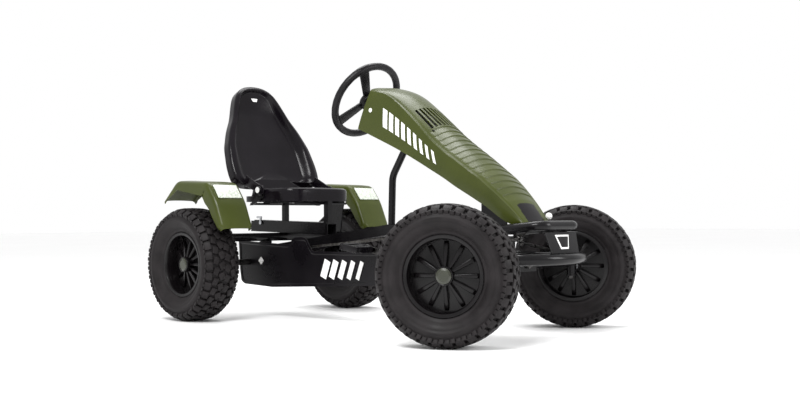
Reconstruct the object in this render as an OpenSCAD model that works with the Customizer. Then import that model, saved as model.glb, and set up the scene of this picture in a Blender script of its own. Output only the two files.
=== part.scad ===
// Pedal go kart: steel tube frame, swinging front axle, chain drive to the rear axle,
// moulded seat and bonnet. Drawn as photographed in use, with the front wheels steered left.
// Drawing helpers measure from the middle of the wheelbase, on the ground; the origin is
// origin_ahead of that, under the middle of the whole kart. +X is forward, +Y left, +Z up.

/* [Overall] */
// Distance between the front and rear axles
wheelbase = 1351; // [1250:1:1650]
// Distance between the front tyre centres, wheels straight ahead
front_track = 836; // [800:1:1000]
// Distance between the rear tyre centres
rear_track = 865; // [800:1:1050]
// How far the origin lies ahead of the middle of the wheelbase
origin_ahead = 28; // [0:1:60]

/* [Wheels] */
// Tyre outer diameter
tyre_d = 460; // [400:1:560]
// Tyre width
tyre_w = 165; // [130:1:200]
// Wheel rim barrel diameter, where the bead sits
rim_d = 244; // [200:1:300]
// Wheel rim width over the flanges
rim_w = 110; // [90:1:130]
// Hub tube diameter of every wheel
hub_d = 50; // [44:1:60]
// How far the hub face lies outboard of the wheel's centre
hub_face = 48; // [40:1:54]
// Spoke blades in each wheel
spoke_count = 12; // [5:1:16]

/* [Front axle and steering] */
// Half the distance between the kingpins
kingpin_half = 321; // [300:1:360]
// Right wheel's steering angle as drawn, left turn positive
steer_right = 27.6; // [0:0.1:31]
// Left wheel's steering angle as drawn, left turn positive
steer_left = 30; // [0:0.1:33]
// Steering wheel's turn as drawn, left turn positive
steer_hand = 47; // [0:0.5:52]
// Height of the swinging front axle tube's centre
axle_tube_z = 250; // [246:1:256]
// Swinging front axle tube diameter
axle_tube_d = 36; // [30:1:40]
// Kingpin diameter
kingpin_d = 16; // [12:1:20]
// Stub axle diameter
stub_d = 17; // [15:1:20]
// Knuckle arm length, kingpin to rod end
arm_len = 60; // [50:1:70]
// Drop arm length, column to rod end
drop_arm = 45; // [38:1:52]
// Tie rod diameter
rod_d = 12; // [8:1:16]

/* [Steering column] */
// Steering wheel diameter
hand_d = 332; // [300:1:380]
// Steering wheel rim thickness
hand_rim = 27; // [22:1:32]
// Column lean below the horizontal
lean = 32.8; // [28:0.1:38]
// Steering wheel centre, distance ahead of the wheelbase middle
hand_x = -88; // [-160:1:-40]
// Steering wheel centre height
hand_z = 888; // [840:1:960]
// Steering shaft diameter
shaft_d = 20; // [16:1:22]
// Column jacket tube diameter
jacket_d = 34; // [30:1:40]

/* [Frame] */
// Backbone tube height
beam_h = 40; // [36:1:44]
// Backbone tube width
beam_w = 50; // [40:1:56]
// Steel tube wall
wall = 2.5; // [2:0.5:4]
// Seat slide beam height
slide_h = 47; // [44:1:50]
// Seat slide beam length
slide_len = 520; // [500:1:560]
// Round frame tube diameter
tube_d = 35; // [30:1:38]
// Steering post tube diameter
post_d = 28; // [25:1:32]
// Half the width between the rear bearing plates
bearing_half = 88; // [80:1:96]
// Rear axle diameter
axle_d = 25; // [20:1:30]

/* [Drive] */
// Crank axis, distance ahead of the wheelbase middle
crank_x = 225; // [200:1:240]
// Crank axis height
crank_z = 270; // [262:1:280]
// Crank arm length, axis to axis
crank_len = 145; // [120:1:145]
// Crank angle as drawn, measured up from straight ahead
crank_angle = 166.8; // [0:0.1:360]
// Chainring teeth
ring_teeth = 36; // [28:1:38]
// Rear sprocket teeth
sprocket_teeth = 18; // [14:1:20]
// Chain pitch
chain_pitch = 12.7; // [12.7:0.1:12.8]
// Distance of the chain line to the right of the centre plane
chain_line = 125; // [122:1:130]

/* [Seat] */
// Seat base width
seat_w = 360; // [320:1:400]
// Seat base length
seat_len = 331; // [300:1:360]
// Seat back height along its slope
back_h = 506; // [460:1:560]
// Seat back recline from the vertical
back_lean = 23.1; // [18:0.1:28]
// Depth of the seat's side bolsters
bolster = 45; // [35:1:55]
// Moulded shell thickness
shell = 5; // [3:0.5:7]

/* [Bodywork] */
// Fender width
fender_w = 155; // [140:1:175]
// Fender's inner edge, distance from the centre plane
fender_in = 305; // [300:1:320]
// Bonnet half width at its widest
bonnet_half = 118; // [110:1:130]
// Bonnet shell thickness
bonnet_wall = 4; // [3:0.5:6]
// Upper bumper half width, centre plane to tube centre
bumper_half = 105; // [90:1:120]
// Bumper tube diameter
bumper_d = 34; // [28:1:38]
// Bonnet louvre slots
louvres = 6; // [4:1:8]

/* [Fits] */
// Radial running clearance of shafts in bores
run_fit = 0.05; // [0.02:0.01:0.1]
// Gap between touching pieces that move or are bolted
gap = 0.3; // [0.2:0.1:0.5]

/* [Hidden] */
$fn = 64;

RIGHT = -1;
LEFT = 1;
front_x = wheelbase / 2;
rear_x = -wheelbase / 2;
axle_z = tyre_d / 2;
scrub = front_track / 2 - kingpin_half;

// Colours
black = [0.05, 0.05, 0.055];
plastic_black = [0.08, 0.08, 0.085];
olive = [0.24, 0.29, 0.10];
steel = [0.62, 0.63, 0.65];
silver = [0.80, 0.80, 0.78];
rubber = [0.07, 0.07, 0.07];
white = [0.93, 0.93, 0.92];
amber = [0.95, 0.45, 0.06];

// ---------- helpers ----------

// Everything is drawn from the middle of the wheelbase
module kart() {
    translate([-origin_ahead, 0, 0]) children();
}

// A cylinder along Y, centred
module across(d, w) {
    rotate([90, 0, 0]) cylinder(d = d, h = w, center = true);
}

// A straight round bar between two points
module bar(p, q, d) {
    v = q - p;
    l = norm(v);
    translate(p) rotate([0, acos(v.z / l), atan2(v.y, v.x)]) cylinder(d = d, h = l);
}

// A ring along Z
module ring(d_out, d_in, h) {
    difference() {
        cylinder(d = d_out, h = h);
        translate([0, 0, -1]) cylinder(d = d_in, h = h + 2);
    }
}

// A flat plate in the XZ plane, centred on y
module side_plate(points, y, t) {
    translate([0, y + t / 2, 0]) rotate([90, 0, 0]) linear_extrude(t) polygon(points);
}

// A bend comes out this much thicker than the straight tube beside it
bend_swell = 0.2;

// One bend of tube about +Y, starting at the origin and heading +Z
module elbow(angle, r, d, w) {
    translate([r, 0, 0]) rotate([90, 0, 180]) rotate_extrude(angle = angle)
        translate([r, 0]) difference() {
            circle(d = d);
            circle(d = d - 2 * w);
        }
}

// A bent tube from steps of [straight length, bend angle, bend radius, roll before the bend]
module bent_tube(steps, d, w, i = 0) {
    if (i < len(steps)) {
        s = steps[i];
        ring(d - bend_swell, d - 2 * w - bend_swell, s[0]);
        translate([0, 0, s[0]]) rotate([0, 0, s[3]]) {
            if (s[1] > 0) elbow(s[1], s[2], d, w);
            translate([s[2], 0, 0]) rotate([0, s[1], 0]) translate([-s[2], 0, 0])
                bent_tube(steps, d, w, i + 1);
        }
    }
}

// A hollow rectangular tube along +X from the origin
module box_tube(l, w, h, t) {
    translate([0, -w / 2, -h / 2]) difference() {
        cube([l, w, h]);
        translate([-1, t, t]) cube([l + 2, w - 2 * t, h - 2 * t]);
    }
}

// Height of the line through two XZ points at x
function on_line(a, b, x) = a[1] + (b[1] - a[1]) * (x - a[0]) / (b[0] - a[0]);

// ---------- frame ----------

// Backbone centre line: rising from the rear cradle, then falling gently to the front head
back_rear = [rear_x - 24.5, 278];
back_mid = [60, 370];
back_front = [front_x - 47.5, 328];
rear_pitch = atan2(back_mid[1] - back_rear[1], back_mid[0] - back_rear[0]);
front_pitch = atan2(back_front[1] - back_mid[1], back_front[0] - back_mid[0]);

module half_beam(a, b, pitch) {
    l = norm(b - a);
    translate([a[0], 0, a[1]]) rotate([0, -pitch, 0]) box_tube(l, beam_w, beam_h, wall);
}

// The upright plane where the two halves of the backbone meet
module backbone() {
    color(black) kart() {
        intersection() {
            half_beam(back_rear, back_mid + [20, 20 * tan(rear_pitch)], rear_pitch);
            translate([back_rear[0] - 50, -100, 0]) cube([back_mid[0] - back_rear[0] + 50, 200, 600]);
        }
        intersection() {
            half_beam(back_mid - [20, 20 * tan(front_pitch)], back_front, front_pitch);
            translate([back_mid[0], -100, 0])
                cube([back_front[0] - back_mid[0], 200, 600]);
        }
        // gusset under the rear of the rising half
        side_plate([[-400, on_line(back_rear, back_mid, -400) - beam_h / 2 - 22],
            [-185, on_line(back_rear, back_mid, -185) - beam_h / 2],
            [-400, on_line(back_rear, back_mid, -400) - beam_h / 2]], -beam_w / 2 + wall / 2, wall);
    }
}

slide_rear = [-821, 384];
slide_pitch = -1.55;
slide_front_x = slide_rear[0] + slide_len * cos(slide_pitch);
slide_w = 50;

module on_slide() {
    translate([slide_rear[0], 0, slide_rear[1]]) rotate([0, -slide_pitch, 0]) children();
}

module slide_beam() {
    color(black) kart() on_slide() box_tube(slide_len, slide_w, slide_h, wall);
}

crossbar_x = -620;
crossbar_z = slide_rear[1] + (crossbar_x - slide_rear[0]) * tan(slide_pitch)
    - slide_h / 2 - tube_d / 2 - gap;
crossbar_half = fender_in + 29;

module rear_crossbar() {
    color(black) kart() translate([crossbar_x, crossbar_half, crossbar_z])
        rotate([90, 0, 0]) ring(tube_d, tube_d - 2 * wall, 2 * crossbar_half);
}

bearing_d = 52;
hitch_d = 12.5;
plate_t = 6;

module rear_cradle() {
    low = axle_z - 36;
    color(black) kart() {
        for (side = [RIGHT, LEFT]) difference() {
            side_plate([[rear_x - 45, low + 12], [rear_x - 30, low], [rear_x + 30, low],
                [rear_x + 45, low + 14], [rear_x + 80, 300], [rear_x + 80, 330],
                [rear_x + 30, 330], [rear_x - 45, 290]], side * bearing_half, plate_t);
            translate([rear_x, side * bearing_half, axle_z]) across(bearing_d + 2 * gap, 20);
            translate([crossbar_x, side * bearing_half, crossbar_z]) across(tube_d, 20);
        }
        // tow plate with a hole for a hitch pin
        difference() {
            translate([back_rear[0] - 46, -25, 262]) cube([46 - plate_t / 2, 50, plate_t]);
            translate([back_rear[0] - 28, 0, 250]) cylinder(d = hitch_d, h = 40);
        }
        // cross plates that carry the backbone's rear end
        for (x = [back_rear[0] - plate_t - 3, rear_x + 60]) difference() {
            translate([x, -bearing_half + plate_t / 2, 262])
                cube([plate_t, 2 * bearing_half - plate_t, 30]);
            kart_hole(x);
        }
    }
}

// The window that a cradle cross plate leaves for the backbone
module kart_hole(x) {
    if (x > back_rear[0])
        translate([x - 1, -beam_w / 2 - gap, on_line(back_rear, back_mid, x) - beam_h / 2 - 2])
            cube([plate_t + 2, beam_w + 2 * gap, beam_h + 20]);
}

module rear_bearings() {
    color(steel) kart() for (side = [RIGHT, LEFT])
        translate([rear_x, side * bearing_half + 7.5, axle_z]) rotate([90, 0, 0])
            ring(bearing_d, axle_d + 2 * run_fit, 15);
}

pivot_d = 16;
head_rear_x = back_front[0];
head_front_x = front_x + 42.5;

module front_head() {
    head_w = 90;
    plate_low = axle_tube_z - 24;
    color(black) kart() {
        // rear and front plates that hold the swinging axle's pivot pin
        difference() {
            union() {
                translate([head_rear_x, -head_w / 2, plate_low])
                    cube([plate_t, head_w, back_front[1] + beam_h / 2 - plate_low]);
                translate([head_front_x, -head_w / 2 - 5, plate_low])
                    cube([plate_t, head_w + 10, 297 - plate_low]);
            }
            translate([head_rear_x - 5, 0, axle_tube_z]) rotate([0, 90, 0])
                cylinder(d = pivot_d + 2 * run_fit, h = head_front_x - head_rear_x + 20);
        }
        // side bars that join the plates above the axle
        for (side = [RIGHT, LEFT])
            translate([head_rear_x + plate_t, side * 41 - 5, 283])
                cube([head_front_x - head_rear_x - plate_t, 10, 14]);
        // neck under the column jacket
        jacket_low = [for (x = [head_rear_x - 110, head_rear_x + plate_t])
            [x, column_z(x) - jacket_d / 2 / cos(lean) - gap]];
        side_plate([[head_rear_x - 110, on_line(back_mid, back_front, head_rear_x - 110)
            + beam_h / 2 + 2 * gap], [head_rear_x, back_front[1] + beam_h / 2 + 2 * gap],
            [head_rear_x + plate_t, back_front[1] + beam_h / 2 - 2],
            jacket_low[1], jacket_low[0]], 0, plate_t);
        // cross bar that carries the upper bumper's arms
        translate([head_rear_x - 32, 0, bumper_bar_z]) across(24, 2 * bumper_half - bumper_d);
    }
}

module axle_pivot_pin() {
    color(steel) kart() translate([head_rear_x - 8, 0, axle_tube_z]) rotate([0, 90, 0]) {
        cylinder(d = pivot_d, h = head_front_x - head_rear_x + plate_t + 20);
        translate([0, 0, head_front_x - head_rear_x + plate_t + 8.5]) cylinder(d = 26, h = 10, $fn = 6);
        translate([0, 0, -2]) cylinder(d = 26, h = 9, $fn = 6);
    }
}

hanger_d = 44;
hanger_w = 68;
crank_bearing_d = 36;
spindle_d = 20;

module crank_hanger() {
    beam_low = on_line(back_mid, back_front, crank_x) - beam_h / 2 - gap;
    color(black) kart() difference() {
        union() {
            translate([crank_x, 0, crank_z]) across(hanger_d, hanger_w);
            side_plate([[crank_x - 45, on_line(back_mid, back_front, crank_x - 45) - beam_h / 2 - gap],
                [crank_x + 45, on_line(back_mid, back_front, crank_x + 45) - beam_h / 2 - gap],
                [crank_x + 18, crank_z], [crank_x - 18, crank_z]], 0, 30);
        }
        translate([crank_x, 0, crank_z]) across(crank_bearing_d, hanger_w + 10);
    }
}

module crank_bearings() {
    color(steel) kart() for (side = [RIGHT, LEFT])
        translate([crank_x, side * (hanger_w / 2 - 8) + 6, crank_z]) rotate([90, 0, 0])
            ring(crank_bearing_d - 2 * run_fit, spindle_d + 2 * run_fit, 12);
}

// Height of the column's centre line at x
function column_z(x) = hand_z - (x - hand_x) * tan(lean);

post_foot = [53, on_line(back_rear, back_mid, 53) + beam_h / 2 / cos(rear_pitch) + gap];
post_knee = [60, 577];
post_head_x = 162;
post_rise = atan2(column_z(post_head_x) - post_knee[1], post_head_x - post_knee[0]);
post_tilt = atan2(post_knee[0] - post_foot[0], post_knee[1] - post_foot[1]);

module steering_post() {
    bend = 90 - post_rise - post_tilt;
    r = 80;
    tangent = r * tan(bend / 2);
    lower = norm(post_knee - post_foot) - tangent;
    upper = norm([post_head_x, column_z(post_head_x)] - post_knee) - tangent;
    slim = post_d - bend_swell;
    color(black) kart() translate([post_foot[0], 0, post_foot[1]]) rotate([0, post_tilt, 0]) {
        // lower straight, cut to lie on the backbone
        difference() {
            translate([0, 0, -9]) ring(slim, slim - 2 * wall, lower + 9);
            rotate([0, -rear_pitch - post_tilt, 0]) translate([-60, -60, -40]) cube([120, 120, 40]);
        }
        translate([0, 0, lower]) elbow(bend, r, post_d, wall);
        // upper straight, cut to the jacket
        translate([r, 0, lower]) rotate([0, bend, 0]) translate([-r, 0, 0]) difference() {
            ring(slim, slim - 2 * wall, upper);
            translate([0, 0, upper]) rotate([0, 90 + lean - post_tilt - bend, 0])
                cylinder(d = jacket_d + 2 * gap, h = 120, center = true);
        }
    }
}

// ---------- steering column ----------

// Draws along the column from a distance s below the steering wheel; local +X points down
module column(s) {
    translate([hand_x, 0, hand_z]) rotate([0, 90 + lean, 0]) translate([0, 0, s]) children();
}

jacket_from = 112;
jacket_to = 860;
shaft_to = 961;
eye_ahead = 9; // from the shaft's end to the rod eyes

module column_jacket() {
    color(black) kart() column(jacket_from)
        ring(jacket_d, shaft_d + 6, jacket_to - jacket_from);
}

module column_bushes() {
    color(silver) kart() for (s = [jacket_from - 3, jacket_to - 22]) column(s) {
        ring(shaft_d + 6, shaft_d + 2 * run_fit, 25);
        if (s < jacket_from) ring(jacket_d - 2, shaft_d + 2 * run_fit, 3 - gap);
    }
}

eye_split = 15;
arm_t = 6;
eye_d = 20;
eye_t = 10;

module steering_shaft() {
    color(steel) kart() {
        column(10) cylinder(d = shaft_d, h = shaft_to - 10);
        // drop arm with its two rod holes
        column(shaft_to - arm_t - 2) rotate([0, 0, -steer_hand]) difference() {
            union() {
                cylinder(d = 34, h = arm_t);
                linear_extrude(arm_t) polygon([[0, -17], [drop_arm - 2, -23], [drop_arm + 8, -14],
                    [drop_arm + 8, 14], [drop_arm - 2, 23], [0, 17]]);
            }
            for (side = [RIGHT, LEFT]) rotate([0, 0, side * eye_split]) translate([drop_arm, 0, -1])
                cylinder(d = 8, h = arm_t + 2);
        }
    }
}

spoke_angles = [0, 100, -100];
hand_dish = 26;

module steering_wheel() {
    rim_r = hand_d / 2 - hand_rim / 2;
    color(plastic_black) kart() column(0) rotate([0, 0, -steer_hand]) difference() {
        union() {
            rotate_extrude() translate([rim_r, 0]) circle(d = hand_rim);
            cylinder(d = 62, h = hand_dish);
            // local +X points down the wheel
            for (a = spoke_angles) rotate([0, 0, a]) translate([20, -13, 2])
                cube([rim_r - 24, 26, 12]);
        }
        translate([0, 0, 10]) cylinder(d = shaft_d, h = hand_dish);
    }
}

module steering_cap() {
    color(plastic_black) kart() column(-8) cylinder(d1 = 44, d2 = 54, h = 8 - gap);
}

// ---------- front axle and knuckles ----------

kingpin_low = 205;
kingpin_high = 275;
fork_t = 6;
fork_gap = 1.5;

module front_axle() {
    color(black) kart() translate([front_x, 0, 0]) difference() {
        union() {
            for (side = [RIGHT, LEFT]) translate([0, side * kingpin_half, kingpin_low])
                cylinder(d = 32, h = kingpin_high - kingpin_low);
            translate([0, 0, axle_tube_z]) across(axle_tube_d, 2 * kingpin_half - 20);
            translate([-36, 0, axle_tube_z]) rotate([0, 90, 0]) cylinder(d = 40, h = 72);
        }
        for (side = [RIGHT, LEFT]) translate([0, side * kingpin_half, kingpin_low - 1])
            cylinder(d = kingpin_d + 2 * run_fit, h = kingpin_high - kingpin_low + 2);
        translate([-60, 0, axle_tube_z]) rotate([0, 90, 0])
            cylinder(d = pivot_d + 2 * run_fit, h = 120);
        // the tube is hollow between the pivot boss and the sleeves
        for (side = [RIGHT, LEFT]) translate([0, side * (kingpin_half / 2 + 2), axle_tube_z])
            across(axle_tube_d - 2 * wall, kingpin_half - 48);
    }
}

// Places children at a kingpin, turned with that wheel
module at_knuckle(side) {
    turn = side == RIGHT ? steer_right : steer_left;
    kart() translate([front_x, side * kingpin_half, 0]) rotate([0, 0, turn]) children();
}

function arm_tip(side) = [-arm_len, -side * 13];

module knuckle(side) {
    web_y = side * 22;
    low = kingpin_low - fork_gap - fork_t;
    high = kingpin_high + fork_gap;
    tip = arm_tip(side);
    color(black) at_knuckle(side) {
        difference() {
            union() {
                for (z = [low, high]) {
                    translate([0, 0, z]) cylinder(d = 34, h = fork_t);
                    translate([-17, min(0, web_y), z]) cube([34, 22, fork_t]);
                }
                // steering arm
                translate([0, 0, high]) linear_extrude(fork_t)
                    polygon([[0, -side * 12], tip + [0, -side * 9], tip + [-9, 0],
                        tip + [0, side * 9], [0, side * 12]]);
                translate([tip[0], tip[1], high]) cylinder(d = 20, h = fork_t);
                // web that carries the stub axle
                translate([-17, web_y - 3, low])
                    cube([34, 6, high + fork_t - low]);
                translate([0, side * (22 + scrub + stub_end) / 2, axle_z])
                    across(stub_d, scrub + stub_end - 22);
                // shoulder that the inner wheel bearing runs against
                translate([0, side * (22 + scrub + bearing_in - gap) / 2, axle_z])
                    across(stub_d + 10, scrub + bearing_in - gap - 22);
            }
            translate([0, 0, low - 1]) cylinder(d = kingpin_d, h = high - low + 20);
            translate([tip[0], tip[1], high - 1]) cylinder(d = 8 + 2 * run_fit, h = 20);
        }
    }
}

module knuckle_right() { knuckle(RIGHT); }
module knuckle_left() { knuckle(LEFT); }

stub_end = 34;

module knuckle_bolts(side) {
    low = kingpin_low - fork_gap - fork_t;
    high = kingpin_high + fork_gap + fork_t;
    color(steel) at_knuckle(side) {
        translate([0, 0, low]) cylinder(d = kingpin_d, h = high - low);
        translate([0, 0, high]) cylinder(d = 26, h = 8, $fn = 6);
        translate([0, 0, low - 10]) cylinder(d = 26, h = 10, $fn = 6);
        translate([0, side * (scrub + stub_nut), axle_z]) rotate([90, 0, 0])
            difference() {
                cylinder(d = 30, h = 8, center = true, $fn = 6);
                cylinder(d = stub_d, h = 20, center = true);
            }
    }
}

module knuckle_bolts_right() { knuckle_bolts(RIGHT); }
module knuckle_bolts_left() { knuckle_bolts(LEFT); }

// Point on the drop arm where a rod's eye sits, in kart coordinates
function eye_at(side) = let (a = -steer_hand + side * eye_split, s = shaft_to + eye_ahead + eye_t / 2,
    down = drop_arm * cos(a)) [
    hand_x + s * cos(lean) - down * sin(lean),
    drop_arm * sin(a),
    hand_z - s * sin(lean) - down * cos(lean)];
// Knuckle arm tip, in kart coordinates
function tip_at(side) = let (turn = side == RIGHT ? steer_right : steer_left, t = arm_tip(side)) [
    front_x + t[0] * cos(turn) - t[1] * sin(turn),
    side * kingpin_half + t[0] * sin(turn) + t[1] * cos(turn),
    kingpin_high + fork_gap + fork_t + 1.2 + eye_t / 2];

module tie_rod(side) {
    tip = tip_at(side);
    eye = eye_at(side);
    color(steel) kart() {
        bar(tip, eye, rod_d);
        translate(tip - [0, 0, eye_t / 2]) cylinder(d = eye_d, h = eye_t);
        translate(tip - [0, 0, eye_t / 2 + fork_t + 6]) cylinder(d = 8, h = 14);
        translate(tip + [0, 0, eye_t / 2]) cylinder(d = 14, h = 5, $fn = 6);
        translate(eye) rotate([0, 90 + lean, 0]) cylinder(d = eye_d, h = eye_t, center = true);
        translate(eye) rotate([0, 90 + lean, 0]) translate([0, 0, eye_t / 2])
            cylinder(d = 14, h = 6, $fn = 6);
    }
}

module tie_rod_right() { tie_rod(RIGHT); }
module tie_rod_left() { tie_rod(LEFT); }

// ---------- wheels ----------

flange_r = rim_d / 2 + 10;
flange_t = 4;
barrel_t = 3;
bead_half = rim_w / 2 - flange_t - gap;
bearing_out_d = 35;

// Wheels are drawn round +Y with their outboard side towards +Y
module wheel_place(side, front) {
    if (front) at_knuckle(side) translate([0, side * scrub, axle_z]) flip(side) children();
    else kart() translate([rear_x, side * rear_track / 2, axle_z]) flip(side) children();
}

module flip(side) {
    rotate([0, 0, side == LEFT ? 0 : 180]) children();
}

// Turns a profile of [radius, outboard distance] round the wheel's axle
module turned() {
    rotate([-90, 0, 0]) rotate_extrude($fn = 96) children();
}

module tyre_shape() {
    r = tyre_d / 2;
    w = tyre_w / 2;
    b = rim_d / 2 + gap;
    side_pts = [[b, bead_half - 12], [b, bead_half], [b + 12, bead_half], [b + 18, w - 19],
        [r - 66, w - 4], [r - 42, w], [r - 20, w - 1.5], [r - 7, w - 13], [r, w - 30]];
    in_pts = [[r - 16, w - 32], [r - 24, w - 14], [r - 45, w - 10], [r - 66, w - 14],
        [b + 24, w - 28], [b + 12, bead_half - 12]];
    mirror_pts = function (p) [for (i = [len(p) - 1 : -1 : 0]) [p[i][0], -p[i][1]]];
    color(rubber) turned() polygon(concat(side_pts, mirror_pts(side_pts), reversed_in(in_pts)));
}

// The tyre's inner contour, from the inboard bead round to the outboard bead
function reversed_in(p) = concat([for (i = [len(p) - 1 : -1 : 0]) [p[i][0], -p[i][1]]], p);

module rim_shape(bore, recess_r) {
    r = rim_d / 2;
    h = rim_w / 2;
    disc_at = 4;
    color(plastic_black) difference() {
        union() {
            turned() polygon([[r - barrel_t, -h], [flange_r, -h], [flange_r, -h + flange_t],
                [r, -h + flange_t], [r, h - flange_t], [flange_r, h - flange_t], [flange_r, h],
                [r - barrel_t, h]]);
            turned() polygon([[10, disc_at - 4], [r - 1, disc_at - 4], [r - 1, disc_at], [10, disc_at]]);
            turned() polygon([[5, -26], [hub_d / 2, -26], [hub_d / 2, hub_face - 16],
                [hub_d / 2 + 7, hub_face - 16], [hub_d / 2 + 7, hub_face - 2], [5, hub_face - 2]]);
            for (i = [0 : spoke_count - 1]) rotate([0, i * 360 / spoke_count, 0])
                translate([hub_d / 2 - 2, disc_at - 0.5, -2.5]) cube([r - hub_d / 2 - barrel_t + 3, 20, 5]);
        }
        across(2 * bore, 200);
        translate([0, 50 + hub_face - 10, 0]) across(2 * recess_r, 100);
        children();
    }
}

// Inboard faces of the inner and outer wheel bearings, measured outboard from the wheel's centre
bearing_in = -26;
bearing_out = 8;
bearing_w = 12;
stub_nut = bearing_out + bearing_w + 4 + gap;
cap_d = 51;

module bearing_seats() {
    for (y = [bearing_in, bearing_out]) translate([0, y + bearing_w / 2, 0])
        across(bearing_out_d, bearing_w + 0.2);
}

module front_rim() {
    rim_shape(stub_d / 2 + 3, cap_d / 2 + gap) {
        bearing_seats();
        translate([0, hub_face - 20, 0]) across(bearing_out_d, 24);
    }
}

module rear_rim() {
    rim_shape(axle_d / 2, cap_d / 2 + gap);
}

module tyre_front_right() { wheel_place(RIGHT, true) tyre_shape(); }
module tyre_front_left() { wheel_place(LEFT, true) tyre_shape(); }
module tyre_rear_right() { wheel_place(RIGHT, false) tyre_shape(); }
module tyre_rear_left() { wheel_place(LEFT, false) tyre_shape(); }
module rim_front_right() { wheel_place(RIGHT, true) front_rim(); }
module rim_front_left() { wheel_place(LEFT, true) front_rim(); }
module rim_rear_right() { wheel_place(RIGHT, false) rear_rim(); }
module rim_rear_left() { wheel_place(LEFT, false) rear_rim(); }

module wheel_bearings(side) {
    color(steel) wheel_place(side, true) for (y = [bearing_in, bearing_out])
        translate([0, y + bearing_w, 0]) rotate([90, 0, 0])
            ring(bearing_out_d, stub_d + 2 * run_fit, bearing_w);
}

module wheel_bearings_right() { wheel_bearings(RIGHT); }
module wheel_bearings_left() { wheel_bearings(LEFT); }

module cap_shape() {
    color(olive) translate([0, hub_face - 10 + gap, 0]) rotate([-90, 0, 0]) {
        cylinder(d = cap_d, h = 8);
        translate([0, 0, 8]) cylinder(d1 = cap_d, d2 = cap_d - 14, h = 3);
    }
}

module hub_cap_front_right() { wheel_place(RIGHT, true) cap_shape(); }
module hub_cap_front_left() { wheel_place(LEFT, true) cap_shape(); }
module hub_caps_rear() {
    wheel_place(RIGHT, false) cap_shape();
    wheel_place(LEFT, false) cap_shape();
}

// ---------- rear drive ----------

module rear_axle() {
    color(steel) kart() translate([rear_x, 0, axle_z]) across(axle_d, rear_track + 2 * (hub_face - 12));
}

module coaster_hub() {
    color(steel) kart() translate([rear_x, -42, axle_z]) rotate([90, 0, 0]) difference() {
        union() {
            cylinder(d = 58, h = 56, center = true);
            cylinder(d = 40, h = 74, center = true);
        }
        cylinder(d = axle_d, h = 100, center = true);
    }
}

function pitch_r(teeth) = chain_pitch / 2 / sin(180 / teeth);

// A toothed disc round Z, centred on z = 0
module toothed_disc(teeth, t) {
    r = pitch_r(teeth);
    linear_extrude(t, center = true) polygon([for (i = [0 : teeth - 1]) let (a = i * 360 / teeth,
        s = 360 / teeth) each [
            [(r - 3) * cos(a - s * 0.42), (r - 3) * sin(a - s * 0.42)],
            [(r + 3) * cos(a - s * 0.14), (r + 3) * sin(a - s * 0.14)],
            [(r + 3) * cos(a + s * 0.14), (r + 3) * sin(a + s * 0.14)],
            [(r - 3) * cos(a + s * 0.42), (r - 3) * sin(a + s * 0.42)]]]);
}

module rear_sprocket() {
    color(steel) kart() translate([rear_x, -chain_line, axle_z]) rotate([90, 0, 0]) difference() {
        union() {
            toothed_disc(sprocket_teeth, 3);
            translate([0, 0, -chain_line + bearing_half + 8]) cylinder(d = 44,
                h = chain_line - bearing_half - 8 + 6);
        }
        cylinder(d = axle_d, h = 100, center = true);
    }
}

module chainring() {
    color(steel) kart() translate([crank_x, -chain_line, crank_z]) rotate([90, 0, 0]) difference() {
        union() {
            toothed_disc(ring_teeth, 3);
            cylinder(d = 40, h = 12, center = true);
        }
        cylinder(d = spindle_d, h = 60, center = true);
        for (i = [0 : 4]) rotate([0, 0, i * 72]) translate([42, 0, 0])
            cylinder(d = 26, h = 20, center = true);
    }
}

// The loop that lies a distance out from the chain's pitch line, round both wheels
module loop(out) {
    big = pitch_r(ring_teeth) + out;
    small = pitch_r(sprocket_teeth) + out;
    c1 = [crank_x, crank_z];
    c2 = [rear_x, axle_z];
    d = norm(c1 - c2);
    dir = atan2(c2[1] - c1[1], c2[0] - c1[0]);
    spread = acos((big - small) / d);
    translate(c1) circle(r = big, $fn = 96);
    translate(c2) circle(r = small, $fn = 96);
    polygon([for (k = [[c1, big, spread], [c2, small, spread], [c2, small, -spread],
        [c1, big, -spread]]) k[0] + k[1] * [cos(dir + k[2]), sin(dir + k[2])]]);
}

chain_plate = 2.5;
chain_slot = 5;

module chain() {
    color(steel) kart() translate([0, -chain_line, 0]) rotate([90, 0, 0]) {
        for (z = [-chain_slot / 2 - chain_plate, chain_slot / 2]) translate([0, 0, z])
            linear_extrude(chain_plate) difference() {
                loop(4.5);
                loop(-4.5);
            }
        // rollers on the free runs, clear of both toothed wheels
        linear_extrude(chain_slot, center = true) intersection() {
            difference() {
                loop(3.5);
                loop(-3.5);
            }
            translate([rear_x + 70, 0]) square([crank_x - rear_x - 170, 600]);
        }
    }
}

module cranks() {
    color(steel) kart() translate([crank_x, 0, crank_z]) {
        across(spindle_d, 2 * crank_y + 12);
        for (side = [RIGHT, LEFT]) rotate([0, -crank_angle + (side == LEFT ? 180 : 0), 0])
            translate([0, side * crank_y, 0]) {
                across(34, 12);
                translate([crank_len, 0, 0]) across(26, 12);
                translate([0, -6, -11]) cube([crank_len, 12, 22]);
                translate([crank_len, side * (6 + pedal_w / 2), 0]) across(pedal_pin, pedal_w + 4);
            }
    }
}

crank_y = 164;
pedal_pin = 12;
pedal_w = 86;
pedal_l = 98;
pedal_t = 26;

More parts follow.
